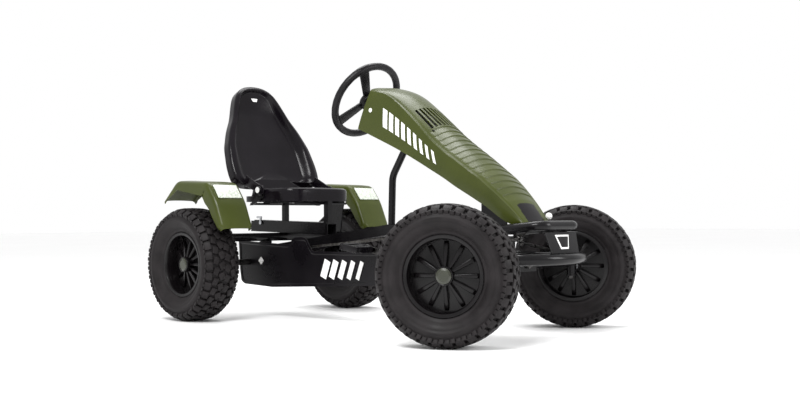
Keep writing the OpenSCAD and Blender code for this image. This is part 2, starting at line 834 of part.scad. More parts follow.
module pedal(side) {
    turn = -crank_angle + (side == LEFT ? 180 : 0);
    at = [crank_x + crank_len * cos(turn), side * (crank_y + 6 + 4 + pedal_w / 2),
        crank_z - crank_len * sin(turn)];
    color(plastic_black) kart() translate(at) rotate([0, 8, 0]) difference() {
        union() {
            for (y = [-pedal_w / 2, pedal_w / 2 - 14]) translate([-pedal_l / 2, y, -pedal_t / 2])
                cube([pedal_l, 14, pedal_t]);
            across(26, pedal_w - 2);
            for (x = [-pedal_l / 2 + 2, pedal_l / 2 - 14]) translate([x, -pedal_w / 2 + 8, -pedal_t / 2])
                cube([12, pedal_w - 16, pedal_t]);
        }
        across(pedal_pin + 2 * run_fit, 200);
    }
}

module pedal_right() { pedal(RIGHT); }
module pedal_left() { pedal(LEFT); }

guard_out = 150;
guard_in = 112;

// Outline of the chain guard, seen from the right
guard_pts = [[rear_x - 68, 322], [rear_x - 50, 150], [rear_x - 22, 136], [rear_x + 165, 129],
    [-237, 142], [crank_x + 55, 168], [crank_x + 82, 186], [crank_x + 82, 268], [120, 285],
    [-252, 283], [-285, 332], [-307, 338], [-365, 338], [-400, 310]];

module chain_guard() {
    lip = 3;
    color(plastic_black) kart() {
        difference() {
            side_plate(guard_pts, -guard_out + 1.5, 3);
            translate([rear_x, -guard_out, axle_z]) across(axle_d + 24, 20);
            translate([crank_x, -guard_out, crank_z]) across(spindle_d + 24, 20);
        }
        // turned-in lip along the lower edge and the rear
        difference() {
            side_plate(guard_pts, -(guard_out + guard_in) / 2, guard_out - guard_in);
            side_plate([for (p = guard_pts) [p[0] + (p[0] < rear_x ? lip : p[0] > crank_x + 60 ? -lip : 0),
                p[1] + (p[1] < 240 ? lip : 100)]], -(guard_out + guard_in) / 2 + 3, guard_out - guard_in + 6.01);
        }
    }
}

module guard_reflector() {
    color(white) kart() translate([rear_x + 92, -guard_out, 238]) rotate([90, 45, 0])
        translate([-11, -11, 0]) cube([22, 22, 4]);
}

// ---------- bodywork ----------

// Fender outline in [x, z], from the rear tip over the top to the front foot
fender_pts = [[rear_x - 176, axle_z + 267], [rear_x - 82, axle_z + 347], [rear_x + 140, axle_z + 337],
    [rear_x + 200, axle_z + 260], [rear_x + 250, axle_z + 148]];
arch_pts = [[rear_x + 228, axle_z + 148], [rear_x + 160, axle_z + 228], [rear_x + 105, axle_z + 272],
    [rear_x + 22, axle_z + 304], [rear_x - 80, axle_z + 304], [rear_x - 168, axle_z + 262]];
fender_t = 4;

module fender(side) {
    mid = side * (fender_in + fender_w / 2);
    inner = [for (i = [0 : len(fender_pts) - 1]) let (p = fender_pts[i]) [
        p[0] + (i == 0 ? 3 : i < 2 ? 1.5 : i == 2 ? -1.5 : -fender_t),
        p[1] - (i == 0 ? fender_t : i < 3 ? fender_t : i == 3 ? 1.5 : 0)]];
    color(olive) kart() {
        side_plate(concat(fender_pts, [for (i = [len(inner) - 1 : -1 : 0]) inner[i]]), mid, fender_w);
        for (y = [fender_in + 2, fender_in + fender_w - 2])
            side_plate(concat(inner, arch_pts), side * y, fender_t);
    }
}

module fender_right() { fender(RIGHT); }
module fender_left() { fender(LEFT); }

module fender_brackets() {
    top = axle_z + 325;
    color(black) kart() for (side = [RIGHT, LEFT]) {
        y = side * (fender_in + fender_t + gap + 3);
        difference() {
            side_plate([[crossbar_x - 16, crossbar_z - 22], [crossbar_x + 16, crossbar_z - 22],
                [crossbar_x + 40, axle_z + 230], [crossbar_x + 60, top], [crossbar_x - 60, top],
                [crossbar_x - 40, axle_z + 230]], y, 6);
            translate([crossbar_x, y, crossbar_z]) across(tube_d, 20);
            translate([crossbar_x, y, axle_z + 265]) across(34, 20);
        }
    }
}

module fender_reflectors() {
    a = fender_pts[2];
    b = fender_pts[3];
    tilt = atan2(a[1] - b[1], b[0] - a[0]);
    color(silver) kart() for (side = [RIGHT, LEFT])
        translate([a[0], side * (fender_in + fender_w / 2), a[1]]) rotate([0, tilt, 0])
            translate([12, -fender_w / 2 + 10, gap]) cube([norm(b - a) - 24, fender_w - 20, 3]);
}

// Bonnet outline in [x, z]: over the top, then back along the lower edge
bonnet_top = [[36, 905], [132, 893], [209, 852], [291, 790], [372, 727], [442, 677], [549, 604],
    [597, 569], [693, 480], [front_x + 100, 399]];
bonnet_low = [[front_x + 100, 389], [front_x + 42, 389], [615, 459], [504, 521], [419, 568],
    [220, 664], [-25, 764]];
function bonnet_plan(inset) = let (h = bonnet_half - inset) [
    [-60, h - 16], [42, h - 16], [300, h - 6], [440, h], [500, h], [600, h - 9], [690, h - 28],
    [front_x + 100 - inset, h - 46]];

module bonnet_solid(inset) {
    drop = inset * 1.35;
    plan = bonnet_plan(inset);
    intersection() {
        side_plate(concat([for (p = bonnet_top) p - [inset > 0 && p[0] < 40 ? 30 : 0, drop]],
            [for (p = bonnet_low) p - [inset > 0 && p[0] < 0 ? 30 : 0, inset * 4]]), 0, 400);
        linear_extrude(1200) polygon(concat([for (p = plan) [p[0], -p[1]]],
            [for (i = [len(plan) - 1 : -1 : 0]) plan[i]]));
    }
}

louvre_pitch = 26;

module bonnet() {
    color(olive) kart() difference() {
        bonnet_solid(0);
        bonnet_solid(bonnet_wall);
        for (i = [0 : louvres - 1]) translate([256, (i - (louvres - 1) / 2) * louvre_pitch - 8, 600])
            cube([90, 16, 400]);
    }
}

module bonnet_vents() {
    drop = 1.35 * bonnet_wall + gap;
    top = [for (p = [[244, 825.5], bonnet_top[3], [358, 738]]) p - [0, drop]];
    color(black) kart() side_plate(concat(top, [for (i = [2 : -1 : 0]) top[i] - [2, 4]]), 0,
        louvres * louvre_pitch + 4);
}

knob_x = 50;

module bonnet_knobs() {
    y = bonnet_half - 14;
    color(white) kart() {
        for (side = [RIGHT, LEFT]) translate([knob_x, side * (bonnet_half - 15.2), 830])
            rotate([-side * 90, 0, 0]) cylinder(d = 17, h = 6);
        difference() {
            translate([front_x + 92, 66, 418]) sphere(d = 24);
            translate([gap, 0, gap]) bonnet_solid(0);
        }
    }
}

bumper_z = 370;
bumper_front_x = 860;
bumper_bar_z = 364;

module bumper_upper() {
    r = 42;
    rise = atan2(12, 149);
    arm = (bumper_front_x - head_rear_x + 44) / cos(rise) - r;
    color(black) kart() for (side = [RIGHT, LEFT])
        translate([head_rear_x - 44, side * bumper_half, bumper_bar_z - 0.8])
            rotate([0, 90 - rise, 0]) rotate([0, 0, side * -90])
                bent_tube([[arm, 90, r, 0], [bumper_half - r, 0, 0, 0]], bumper_d, wall);
}

lower_d = 38;
lower_z = 273;

module bumper_lower() {
    foot_y = 36;
    spread = 72; // first straight, outward from straight ahead
    corner = 40; // radius of the outer corners
    bow = 257; // radius of the bowed front
    sweep = 40; // how far each half of the bowed front turns
    in = 90 - sweep;
    reach = (3 + bow * cos(in) + 2 * sin(in) - corner * (cos(in) - cos(spread)) - foot_y) / sin(spread);
    color(black) kart() for (side = [RIGHT, LEFT])
        translate([head_front_x + plate_t + 0.2, side * foot_y, lower_z]) {
            // first straight, cut to stand on the head's front plate
            difference() {
                rotate([0, 90, side * spread]) translate([0, 0, -22])
                    ring(lower_d - bend_swell, lower_d - bend_swell - 2 * wall, reach + 21);
                translate([-100, -100, -100]) cube([100, 200, 200]);
            }
            rotate([0, 90, side * spread]) translate([0, 0, reach - 1]) rotate([0, 0, side * -90])
                bent_tube([[1, spread + in, corner, 0], [2, sweep, bow, 0], [3, 0, 0, 0]],
                    lower_d, wall);
        }
}

module bumper_plate() {
    top = [bumper_front_x + 4, 362];
    bottom = [890, 292];
    tilt = atan2(bottom[0] - top[0], top[1] - bottom[1]);
    color(black) kart() translate([top[0] - 2, 0, top[1] + 4]) rotate([0, 90 - tilt, 0])
        linear_extrude(4) polygon([[0, -88], [0, 88], [76, 76], [76, -76]]);
}

// ---------- seat ----------

module channel(from, l) {
    inner_w = slide_w + 2 * gap;
    on_slide() translate([from, 0, slide_h / 2 + gap]) {
        translate([0, -inner_w / 2 - 3, 0]) cube([l, inner_w + 6, 4]);
        for (side = [RIGHT, LEFT]) translate([0, side * (inner_w / 2 + 1.5) - 1.5, -slide_h + 4])
            cube([l, 3, slide_h]);
    }
}

// Height of the channel's top face at x
function channel_top(x) = slide_rear[1] + (x - slide_rear[0]) * tan(slide_pitch)
    + slide_h / 2 / cos(slide_pitch) + gap + 4;

seat_x0 = -685;
seat_z0 = 487;
seat_t = 51;
rod_x = -607;
rod_z = 478;
pivot_x = -535;
pivot_z = 535;
pivot_half = seat_w / 2 + 9;

module seat_slide() {
    post1 = [rod_x, 20];
    post2 = [-325, 27];
    color(black) kart() {
        channel(28, slide_len - 36);
        for (p = [post1, post2]) let (low = channel_top(p[0]) - 2)
            translate([p[0] - p[1] / 2, -12, low]) cube([p[1], 24, seat_z0 - low - gap]);
        // bars under the seat base
        translate([rod_x, 0, rod_z]) across(10, 2 * pivot_half - 6);
        translate([-370, 0, rod_z]) across(10, seat_w - 80);
        for (y = [-110, 110]) translate([rod_x, y - 10, rod_z + 2]) cube([237, 20, seat_z0 - rod_z - 2 - gap]);
        translate([-375, -12, rod_z - 4]) cube([60, 24, 8]);
        // brackets that carry the back's pivots
        for (side = [RIGHT, LEFT]) difference() {
            side_plate([[rod_x - 10, rod_z - 6], [rod_x + 10, rod_z - 6], [pivot_x + 14, pivot_z - 30],
                [pivot_x + 14, pivot_z + 12], [pivot_x - 14, pivot_z + 12], [pivot_x - 30, pivot_z - 20]],
                side * (pivot_half - 5), 5);
            translate([pivot_x, side * pivot_half, pivot_z]) across(10 + 2 * run_fit, 30);
        }
    }
}

lever_x = -741;
lever_y = slide_w / 2 + gap + 3;

module seat_clamp_lever() {
    z = 398;
    color(steel) kart() translate([lever_x, -lever_y - gap, z]) {
        rotate([90, 0, 0]) cylinder(d = 16, h = 8);
        translate([-6, -8, 0]) rotate([0, 8, 0]) cube([9, 6, 26]);
        translate([-1, -11, 24]) rotate([0, 90, 0]) cylinder(d = 9, h = 30, center = true);
    }
}

// A plate with two round corners of radius r at its front
module seat_plan(l, w, r, h) {
    linear_extrude(h) union() {
        translate([0, -w / 2 + 30]) square([l - r, w - 60]);
        translate([30, -w / 2]) square([l - r - 30, w]);
        translate([l - r - 1, -w / 2 + r]) square([r + 1, w - 2 * r]);
        for (side = [RIGHT, LEFT]) {
            translate([l - r, side * (w / 2 - r)]) circle(r = r);
            translate([30, side * (w / 2 - 30)]) circle(r = 30);
        }
    }
}

module seat_base() {
    color(plastic_black) kart() translate([seat_x0, 0, seat_z0]) difference() {
        seat_plan(seat_len, seat_w, 80, seat_t);
        translate([shell, 0, -1]) seat_plan(seat_len - 2 * shell, seat_w - 2 * shell, 76,
            seat_t - shell - 26);
        translate([73 + shell, -seat_w / 2 + shell, -1]) cube([seat_len - 160, seat_w - 2 * shell,
            seat_t - shell - 8]);
        translate([24, 0, seat_t - 8]) seat_plan(seat_len - 48, seat_w - 56, 70, 20);
        // lower shelf at the rear, clear of the back's foot
        translate([-1, -seat_w, seat_t - 26]) cube([74, 2 * seat_w, 40]);
        for (side = [RIGHT, LEFT]) translate([pivot_x - seat_x0 - 44, side * (seat_w / 2 + 6) - 13, -5])
            cube([88, 26, 80]);
    }
}

// Draws on the seat back: local X across, local Y up its slope, local Z forward
module on_back() {
    translate([-630, 0, 550]) rotate([0, -back_lean, 0]) rotate([90, 0, 90]) children();
}

function both_sides(p) = concat(p, [for (i = [len(p) - 1 : -1 : 0]) [-p[i][0], p[i][1]]]);

back_out = [[206, 10], [226, 20], [234, 60], [234, 115], [222, 200], [190, 280],
    [155, 342], [130, 402], [108, 448], [84, 476], [48, 498], [16, back_h]];
back_in = [[152, 40], [158, 60], [160, 130], [166, 200], [160, 262], [134, 330], [108, 396],
    [88, 436], [62, 462], [20, 476]];

module seat_back() {
    color(plastic_black) kart() {
        on_back() difference() {
            translate([0, 0, -bolster]) linear_extrude(bolster) polygon(both_sides(back_out));
            translate([0, 0, -bolster + shell + 4]) linear_extrude(bolster)
                polygon(both_sides(concat([[150, 0]], back_in)));
            // the hollow behind the bolsters
            for (side = [RIGHT, LEFT]) translate([0, 0, -bolster - 1]) linear_extrude(bolster - shell)
                polygon([for (p = [[176, 24], [214, 30], [222, 110], [210, 196], [184, 256], [178, 200],
                    [172, 120], [170, 40]]) [side * p[0], p[1]]]);
        }
        // ears that reach down to the pivots
        for (side = [RIGHT, LEFT]) difference() {
            side_plate([[pivot_x - 16, pivot_z - 14], [pivot_x + 16, pivot_z - 14], [pivot_x + 18, pivot_z + 12],
                [-600, 640], [-672, 640], [-640, 545]], side * (pivot_half + 1.5), 6);
            translate([pivot_x, side * pivot_half, pivot_z]) across(10 + 2 * run_fit, 40);
        }
    }
}

module seat_knobs() {
    color(plastic_black) kart() for (side = [RIGHT, LEFT])
        translate([pivot_x, side * (pivot_half + 5), pivot_z]) rotate([-side * 90, 0, 0]) {
            translate([0, 0, gap]) cylinder(d = 32, h = 12);
            translate([0, 0, -18]) cylinder(d = 10, h = 19);
        }
}

backbone();
slide_beam();
rear_crossbar();
rear_cradle();
rear_bearings();
front_head();
axle_pivot_pin();
crank_hanger();
crank_bearings();
steering_post();
column_jacket();
column_bushes();
bumper_upper();
bumper_lower();
bumper_plate();
bonnet();
bonnet_vents();
bonnet_knobs();
chain_guard();
guard_reflector();
chain();
fender_right();
fender_left();
fender_brackets();
fender_reflectors();
front_axle();
knuckle_right();
knuckle_left();
knuckle_bolts_right();
knuckle_bolts_left();
tie_rod_right();
tie_rod_left();
steering_shaft();
steering_wheel();
steering_cap();
tyre_front_right();
tyre_front_left();
rim_front_right();
rim_front_left();
wheel_bearings_right();
wheel_bearings_left();
hub_cap_front_right();
hub_cap_front_left();
tyre_rear_right();
tyre_rear_left();
rim_rear_right();
rim_rear_left();
hub_caps_rear();
rear_axle();
coaster_hub();
rear_sprocket();
chainring();
cranks();
pedal_right();
pedal_left();
seat_slide();
seat_clamp_lever();
seat_base();
seat_back();
seat_knobs();
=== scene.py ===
# %% [markdown]
# # A pedal go kart
# The steel parts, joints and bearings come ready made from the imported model, which is loaded
# first as a fixed frame. The moulded and rubber pieces, whose looks depend on soft curves and
# fine detail, are modelled here over that frame: tyres, wheels, bonnet, fenders, seat and so on.

import math

import bmesh
import bpy
from mathutils import Matrix, Vector


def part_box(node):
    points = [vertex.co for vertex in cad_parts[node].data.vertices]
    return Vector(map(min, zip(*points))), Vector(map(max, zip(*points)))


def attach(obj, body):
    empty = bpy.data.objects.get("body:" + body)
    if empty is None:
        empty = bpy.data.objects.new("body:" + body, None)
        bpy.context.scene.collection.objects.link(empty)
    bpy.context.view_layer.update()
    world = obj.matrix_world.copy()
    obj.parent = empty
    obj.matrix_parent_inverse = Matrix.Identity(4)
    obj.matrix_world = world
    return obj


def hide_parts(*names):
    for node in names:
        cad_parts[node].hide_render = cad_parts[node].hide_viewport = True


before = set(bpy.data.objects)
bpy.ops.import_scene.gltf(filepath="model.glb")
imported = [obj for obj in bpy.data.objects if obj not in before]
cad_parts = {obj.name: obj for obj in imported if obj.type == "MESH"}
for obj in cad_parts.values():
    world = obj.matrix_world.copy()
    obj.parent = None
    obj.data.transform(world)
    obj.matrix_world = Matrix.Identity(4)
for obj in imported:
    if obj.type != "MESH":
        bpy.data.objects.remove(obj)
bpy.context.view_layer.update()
AHEAD = 0.028  # the origin lies this far ahead of the middle of the wheelbase

# %% [markdown]
# The camera stands off the kart's front right corner, low, with a medium lens, so the near front
# wheel looms and the kart tapers away behind it. It is made first, so that every later piece can
# be judged from the same place.

# %% Camera
bpy.ops.object.camera_add(location=(2.98585, -2.90101, 0.41293))
camera = bpy.context.object
camera.name = "camera"
camera.data.lens = 47.66
camera.data.sensor_width = 36.0
yaw, pitch, roll = math.radians(135.1266), math.radians(0.755), math.radians(-0.335)
ahead = Vector((math.cos(pitch) * math.cos(yaw), math.cos(pitch) * math.sin(yaw), math.sin(pitch)))
right = ahead.cross(Vector((0, 0, 1))).normalized()
above = right.cross(ahead)
side = right * math.cos(roll) + above * math.sin(roll)
top = above * math.cos(roll) - right * math.sin(roll)
camera.matrix_world = Matrix.Translation(camera.location) @ Matrix((side, top, -ahead)).transposed().to_4x4()
bpy.context.scene.camera = camera
print("camera", [round(v, 3) for v in camera.location])

# %% [markdown]
# A kart is mostly black, so it is read by its reflections. A pale floor with a bright, even
# sky gives soft fill, and three large area lights lay long highlights on the plastic and tubes.

# %% Floor, sky and lights
bpy.ops.object.select_all(action="DESELECT")
bpy.ops.mesh.primitive_plane_add(size=60, location=(0, 0, 0))
floor = bpy.context.object
floor.name = "floor"
world = bpy.data.worlds.new("studio")
bpy.context.scene.world = world
world.use_nodes = True
world.node_tree.nodes["Background"].inputs[0].default_value = (1, 1, 1, 1)
world.node_tree.nodes["Background"].inputs[1].default_value = 1.0
bpy.context.scene.view_settings.view_transform = "Standard"


def lamp(name, place, aim, size, power):
    bpy.ops.object.light_add(type="AREA", location=place)
    light = bpy.context.object
    light.name = name
    light.data.shape = "RECTANGLE"
    light.data.size, light.data.size_y = size
    light.data.energy = power
    light.rotation_euler = (Vector(aim) - Vector(place)).to_track_quat("-Z", "Y").to_euler()
    return light


lamp("key_light", (1.2, -2.6, 3.2), (0, 0, 0.4), (1.8, 1.0), 135)
lamp("side_light", (3.4, 1.4, 1.8), (0.3, 0, 0.4), (1.2, 1.6), 52)
lamp("top_light", (-1.0, 0.8, 3.6), (-0.2, 0, 0.4), (2.4, 1.4), 85)
print("three lights over a pale floor")

# %% [markdown]
# ## Finishes
# Every finish is built from noise in object coordinates, so it stays put on its piece. Two close
# shades are mixed for the colour, the roughness wanders between two values, and a fine bump
# breaks up the reflections as powder coat, moulded grain or rubber does.

# %% A finish from noise
def finish(name, dark, light, patch, rough, grain, bump, metal=0.0, coat=0.0, cells=False, gloss=0.5):
    m = bpy.data.materials.new(name)
    m.use_nodes = True
    t = m.node_tree
    shader = t.nodes["Principled BSDF"]
    shader.inputs["Metallic"].default_value = metal
    shader.inputs["Specular IOR Level"].default_value = gloss
    shader.inputs["Coat Weight"].default_value = coat
    shader.inputs["Coat Roughness"].default_value = 0.12
    place = t.nodes.new("ShaderNodeTexCoord")
    cloud = t.nodes.new("ShaderNodeTexNoise")
    cloud.inputs["Scale"].default_value = patch
    cloud.inputs["Detail"].default_value = 4
    t.links.new(place.outputs["Object"], cloud.inputs["Vector"])
    ramp = t.nodes.new("ShaderNodeValToRGB")
    ramp.color_ramp.elements[0].position = 0.35
    ramp.color_ramp.elements[1].position = 0.68
    ramp.color_ramp.elements[0].color = (*dark, 1)
    ramp.color_ramp.elements[1].color = (*light, 1)
    t.links.new(cloud.outputs["Fac"], ramp.inputs["Fac"])
    t.links.new(ramp.outputs["Color"], shader.inputs["Base Color"])
    wander = t.nodes.new("ShaderNodeMapRange")
    wander.inputs["From Min"].default_value = 0.3
    wander.inputs["From Max"].default_value = 0.7
    wander.inputs["To Min"].default_value = rough[0]
    wander.inputs["To Max"].default_value = rough[1]
    t.links.new(cloud.outputs["Fac"], wander.inputs["Value"])
    t.links.new(wander.outputs["Result"], shader.inputs["Roughness"])
    fine = t.nodes.new("ShaderNodeTexVoronoi" if cells else "ShaderNodeTexNoise")
    fine.inputs["Scale"].default_value = grain
    t.links.new(place.outputs["Object"], fine.inputs["Vector"])
    relief = t.nodes.new("ShaderNodeBump")
    relief.inputs["Strength"].default_value = bump
    relief.inputs["Distance"].default_value = 0.0006
    t.links.new(fine.outputs["Distance" if cells else "Fac"], relief.inputs["Height"])
    t.links.new(relief.outputs["Normal"], shader.inputs["Normal"])
    return m


# %% [markdown]
# A pedal kart has few finishes: powder coat on the tubes, olive and black mouldings, rubber, and
# some plated steel. They could each be a separate node tree, but one recipe with different
# numbers keeps them related. The blacks are very dark with little gloss, as moulded plastic is.

# %% The finishes of this kart
powder_coat = finish("black_powder_coat", (0.0030, 0.0027, 0.0032), (0.0060, 0.0054, 0.0062), 9,
    (0.18, 0.28), 620, 0.10, coat=0.05, gloss=0.17)
olive = finish("olive_plastic", (0.031, 0.040, 0.0030), (0.042, 0.052, 0.0058), 5, (0.30, 0.42), 900, 0.12,
    coat=0.03, gloss=0.24)
satin_black = finish("satin_black_plastic", (0.0030, 0.0024, 0.0033), (0.0058, 0.0048, 0.0062), 7,
    (0.24, 0.36), 800, 0.14, gloss=0.16)
seat_black = finish("seat_black_plastic", (0.0034, 0.0024, 0.0037), (0.0062, 0.0048, 0.0067), 6,
    (0.15, 0.23), 520, 0.16, cells=True, gloss=0.16)
tyre_rubber = finish("tyre_rubber", (0.0070, 0.0056, 0.0060), (0.0165, 0.0140, 0.0148), 16, (0.48, 0.68),
    420, 0.35, gloss=0.18)
grip_rubber = finish("grip_rubber", (0.0034, 0.0030, 0.0036), (0.0070, 0.0064, 0.0072), 12, (0.30, 0.44),
    700, 0.4, cells=True, gloss=0.20)
rim_black = finish("wheel_black_plastic", (0.0030, 0.0024, 0.0028), (0.0058, 0.0049, 0.0054), 10,
    (0.18, 0.28), 700, 0.12, gloss=0.22)
bright_zinc = finish("zinc_plated_steel", (0.30, 0.31, 0.32), (0.46, 0.47, 0.49), 60, (0.24, 0.40), 380,
    0.12, metal=1.0)
dark_steel = finish("black_oxide_steel", (0.045, 0.043, 0.042), (0.090, 0.087, 0.085), 45, (0.26, 0.42),
    380, 0.15, metal=1.0)
chain_steel = finish("oiled_chain_steel", (0.05, 0.046, 0.042), (0.13, 0.125, 0.12), 90, (0.35, 0.5), 300,
    0.2, metal=1.0)
nylon = finish("pale_nylon", (0.50, 0.50, 0.47), (0.60, 0.60, 0.57), 30, (0.45, 0.6), 500, 0.15)
white_gloss = finish("white_gloss_print", (0.76, 0.76, 0.74), (0.84, 0.84, 0.82), 20, (0.28, 0.4), 600,
    0.08)
cap_dark = finish("hub_cap_dark_olive", (0.012, 0.014, 0.006), (0.020, 0.023, 0.010), 25, (0.20, 0.32), 600,
    0.1, coat=0.3)
silver_prism = finish("prism_reflector", (0.36, 0.40, 0.34), (0.66, 0.70, 0.62), 130, (0.18, 0.3), 260, 0.7,
    cells=True, coat=0.5)
floor_pale = finish("pale_floor", (0.955, 0.955, 0.955), (0.975, 0.975, 0.975), 0.7, (0.55, 0.7), 40, 0.02)
floor.data.materials.append(floor_pale)
print("finishes:", len(bpy.data.materials))

# %% [markdown]
# The nodes whose solids already have the real shape, such as tubes, brackets and bearings, stay
# as they are and only take a finish. A table says which finish each one wears.

# %% Dress the frame's own nodes
wearing = {
    powder_coat: "backbone slide_beam rear_crossbar rear_cradle front_head crank_hanger steering_post "
    "column_jacket bumper_upper bumper_lower fender_brackets front_axle knuckle_right knuckle_left seat_slide",
    bright_zinc: "seat_clamp_lever rear_bearings crank_bearings wheel_bearings_right wheel_bearings_left",
    dark_steel: "axle_pivot_pin knuckle_bolts_right knuckle_bolts_left tie_rod_right tie_rod_left "
    "steering_shaft rear_axle coaster_hub rear_sprocket chainring cranks",
    chain_steel: "chain",
    satin_black: "bonnet_vents steering_cap seat_knobs",
    nylon: "column_bushes",
    white_gloss: "bonnet_knobs guard_reflector",
    cap_dark: "hub_cap_front_right hub_cap_front_left hub_caps_rear",
}
for material, names in wearing.items():
    for name in names.split():
        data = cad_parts[name].data
        data.materials.clear()
        data.materials.append(material)
print("dressed", sum(len(n.split()) for n in wearing.values()), "nodes")

# %% [markdown]
# ## Small tools
# These helpers do what a person does between operators: select one object, step in and out of
# edit mode, pick faces by where they are, and apply a modifier.

# %% Selecting and editing
def take(obj):
    if bpy.context.object and bpy.context.object.mode != "OBJECT":
        bpy.ops.object.mode_set(mode="OBJECT")
    bpy.ops.object.select_all(action="DESELECT")
    obj.select_set(True)
    bpy.context.view_layer.objects.active = obj
    return obj


def newest(name):
    obj = bpy.context.object
    obj.name = obj.data.name = name
    return take(obj)


def edit(obj):
    take(obj)
    bpy.ops.object.mode_set(mode="EDIT")


def leave():
    bpy.ops.object.mode_set(mode="OBJECT")


def pick(obj, test, kind="faces"):
    """In edit mode, selects the faces, edges or verts whose middle (and normal) pass the test."""
    bpy.ops.mesh.select_mode(type={"faces": "FACE", "edges": "EDGE", "verts": "VERT"}[kind])
    bpy.ops.mesh.select_all(action="DESELECT")
    b = bmesh.from_edit_mesh(obj.data)
    for e in getattr(b, kind):
        middle = e.co if kind == "verts" else sum((v.co for v in e.verts), Vector()) / len(e.verts)
        normal = e.normal if kind != "edges" else (e.verts[1].co - e.verts[0].co).normalized()
        e.select_set(bool(test(middle, normal)))
    b.select_flush_mode()
    bmesh.update_edit_mesh(obj.data)


def modify(obj, kind, **values):
    take(obj)
    bpy.ops.object.modifier_add(type=kind)
    m = obj.modifiers[-1]
    for key, value in values.items():
        setattr(m, key, value)
    bpy.ops.object.modifier_apply(modifier=m.name)


def smooth(obj, angle=35):
    take(obj)
    bpy.ops.object.shade_smooth_by_angle(angle=math.radians(angle))


def settle(obj):
    """Puts the object's place, turn and scale into its mesh."""
    take(obj)
    bpy.ops.object.transform_apply(location=True, rotation=True, scale=True)
    return obj


def joined(name, pieces):
    take(pieces[0])
    for p in pieces[1:]:
        p.select_set(True)
    bpy.ops.object.join()
    return newest(name)


def box_piece(name, size, place, round_by=0.002, turn=(0, 0, 0), segments=2):
    """A bevelled block, the blank for lugs, blades, plates and bars."""
    bpy.ops.object.select_all(action="DESELECT")
    bpy.ops.mesh.primitive_cube_add(size=1, location=place, rotation=turn, scale=size)
    obj = settle(newest(name))
    if round_by:
        modify(obj, "BEVEL", width=round_by, segments=segments, limit_method="ANGLE")
    return obj


def round_piece(name, radius, depth, place=(0, 0, 0), turn=(0, 0, 0), vertices=48):
    """A closed cylinder, the blank for bosses, badges and hubs."""
    bpy.ops.object.select_all(action="DESELECT")
    bpy.ops.mesh.primitive_cylinder_add(vertices=vertices, radius=radius, depth=depth, location=place,
        rotation=turn)
    return settle(newest(name))


def turned_piece(name, section, steps):
    """Spins a closed section of (radius, outboard) points round the Y axis."""
    bpy.ops.object.select_all(action="DESELECT")
    bpy.ops.mesh.primitive_circle_add(vertices=len(section), radius=1)
    obj = newest(name)
    for v, (r, w) in zip(obj.data.vertices, section):
        v.co = (r, w, 0)
    edit(obj)
    bpy.ops.mesh.select_all(action="SELECT")
    bpy.ops.mesh.spin(steps=steps, angle=2 * math.pi, center=(0, 0, 0), axis=(0, 1, 0))
    bpy.ops.mesh.select_all(action="SELECT")
    bpy.ops.mesh.remove_doubles(threshold=0.00002)
    bpy.ops.mesh.normals_make_consistent(inside=False)
    leave()
    return obj


def formed_sheet(name, cells, shape, cut=None):
    """A grid whose points are pushed to where shape(u, v) says, u from 0 to 1 and v from -1 to 1."""
    bpy.ops.object.select_all(action="DESELECT")
    bpy.ops.mesh.primitive_grid_add(x_subdivisions=cells[0], y_subdivisions=cells[1], size=2)
    obj = newest(name)
    if cut:
        edit(obj)
        pick(obj, lambda c, n: cut((c.x + 1) / 2, c.y))
        bpy.ops.mesh.delete(type="FACE")
        leave()
    for v in obj.data.vertices:
        v.co = shape((v.co.x + 1) / 2, v.co.y)
    return obj


def outwards(obj, within=0):
    """Merges doubles nearer than the distance, then turns every face outwards."""
    edit(obj)
    bpy.ops.mesh.select_all(action="SELECT")
    if within:
        bpy.ops.mesh.remove_doubles(threshold=within)
    bpy.ops.mesh.normals_make_consistent(inside=False)
    leave()


def thickened(obj, wall):
    """Gives an open sheet its wall on the inner side, whichever way its faces point."""
    up = max(obj.data.polygons, key=lambda f: f.center.z).normal.z > 0
    modify(obj, "SOLIDIFY", thickness=wall, offset=-1 if up else 1)


def repeated_round(obj, count, way=1):
    """Repeats a piece all the way round the Y axis."""
    bpy.ops.object.empty_add(location=(0, 0, 0), rotation=(0, way * 2 * math.pi / count, 0))
    stepper = bpy.context.object
    modify(obj, "ARRAY", use_relative_offset=False, use_object_offset=True, offset_object=stepper,
        count=count)
    bpy.data.objects.remove(stepper)


def to_kart(obj):
    """Moves a piece drawn from the middle of the wheelbase to the kart's own origin."""
    take(obj)
    bpy.ops.transform.translate(value=(-AHEAD, 0, 0))
    return settle(obj)


def fit(obj, body, slot, *nodes):
    """Rides the piece on its body and hides the plain solids that it stands for."""
    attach(obj, body)
    if nodes:
        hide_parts(*nodes)
    print(obj.name, len(obj.data.polygons), "faces")


# %% [markdown]
# Curves that run through a few measured points are wanted often, so one helper gives a smooth
# value anywhere along a list of points, spaced by the length between them.

# %% Smooth curves through points
class Curve:
    """A smooth curve through points, read at a share t of its length."""

    def __init__(self, points):
        self.p = [Vector(p) for p in points]
        self.s = [0.0]
        for a, b in zip(self.p, self.p[1:]):
            self.s.append(self.s[-1] + (b - a).length)

    def at(self, t):
        s = min(max(t, 0), 1) * self.s[-1]
        i = max(k for k in range(len(self.p) - 1) if self.s[k] <= s + 1e-12)
        h = self.s[i + 1] - self.s[i]
        x = (s - self.s[i]) / h

        def slope(k):
            a, b = max(k - 1, 0), min(k + 1, len(self.p) - 1)
            return (self.p[b] - self.p[a]) / (self.s[b] - self.s[a])

        a, b = self.p[i], self.p[i + 1]
        return (
            a * (2 * x**3 - 3 * x**2 + 1)
            + b * (3 * x**2 - 2 * x**3)
            + slope(i) * h * (x**3 - 2 * x**2 + x)
            + slope(i + 1) * h * (x**3 - x**2)
        )


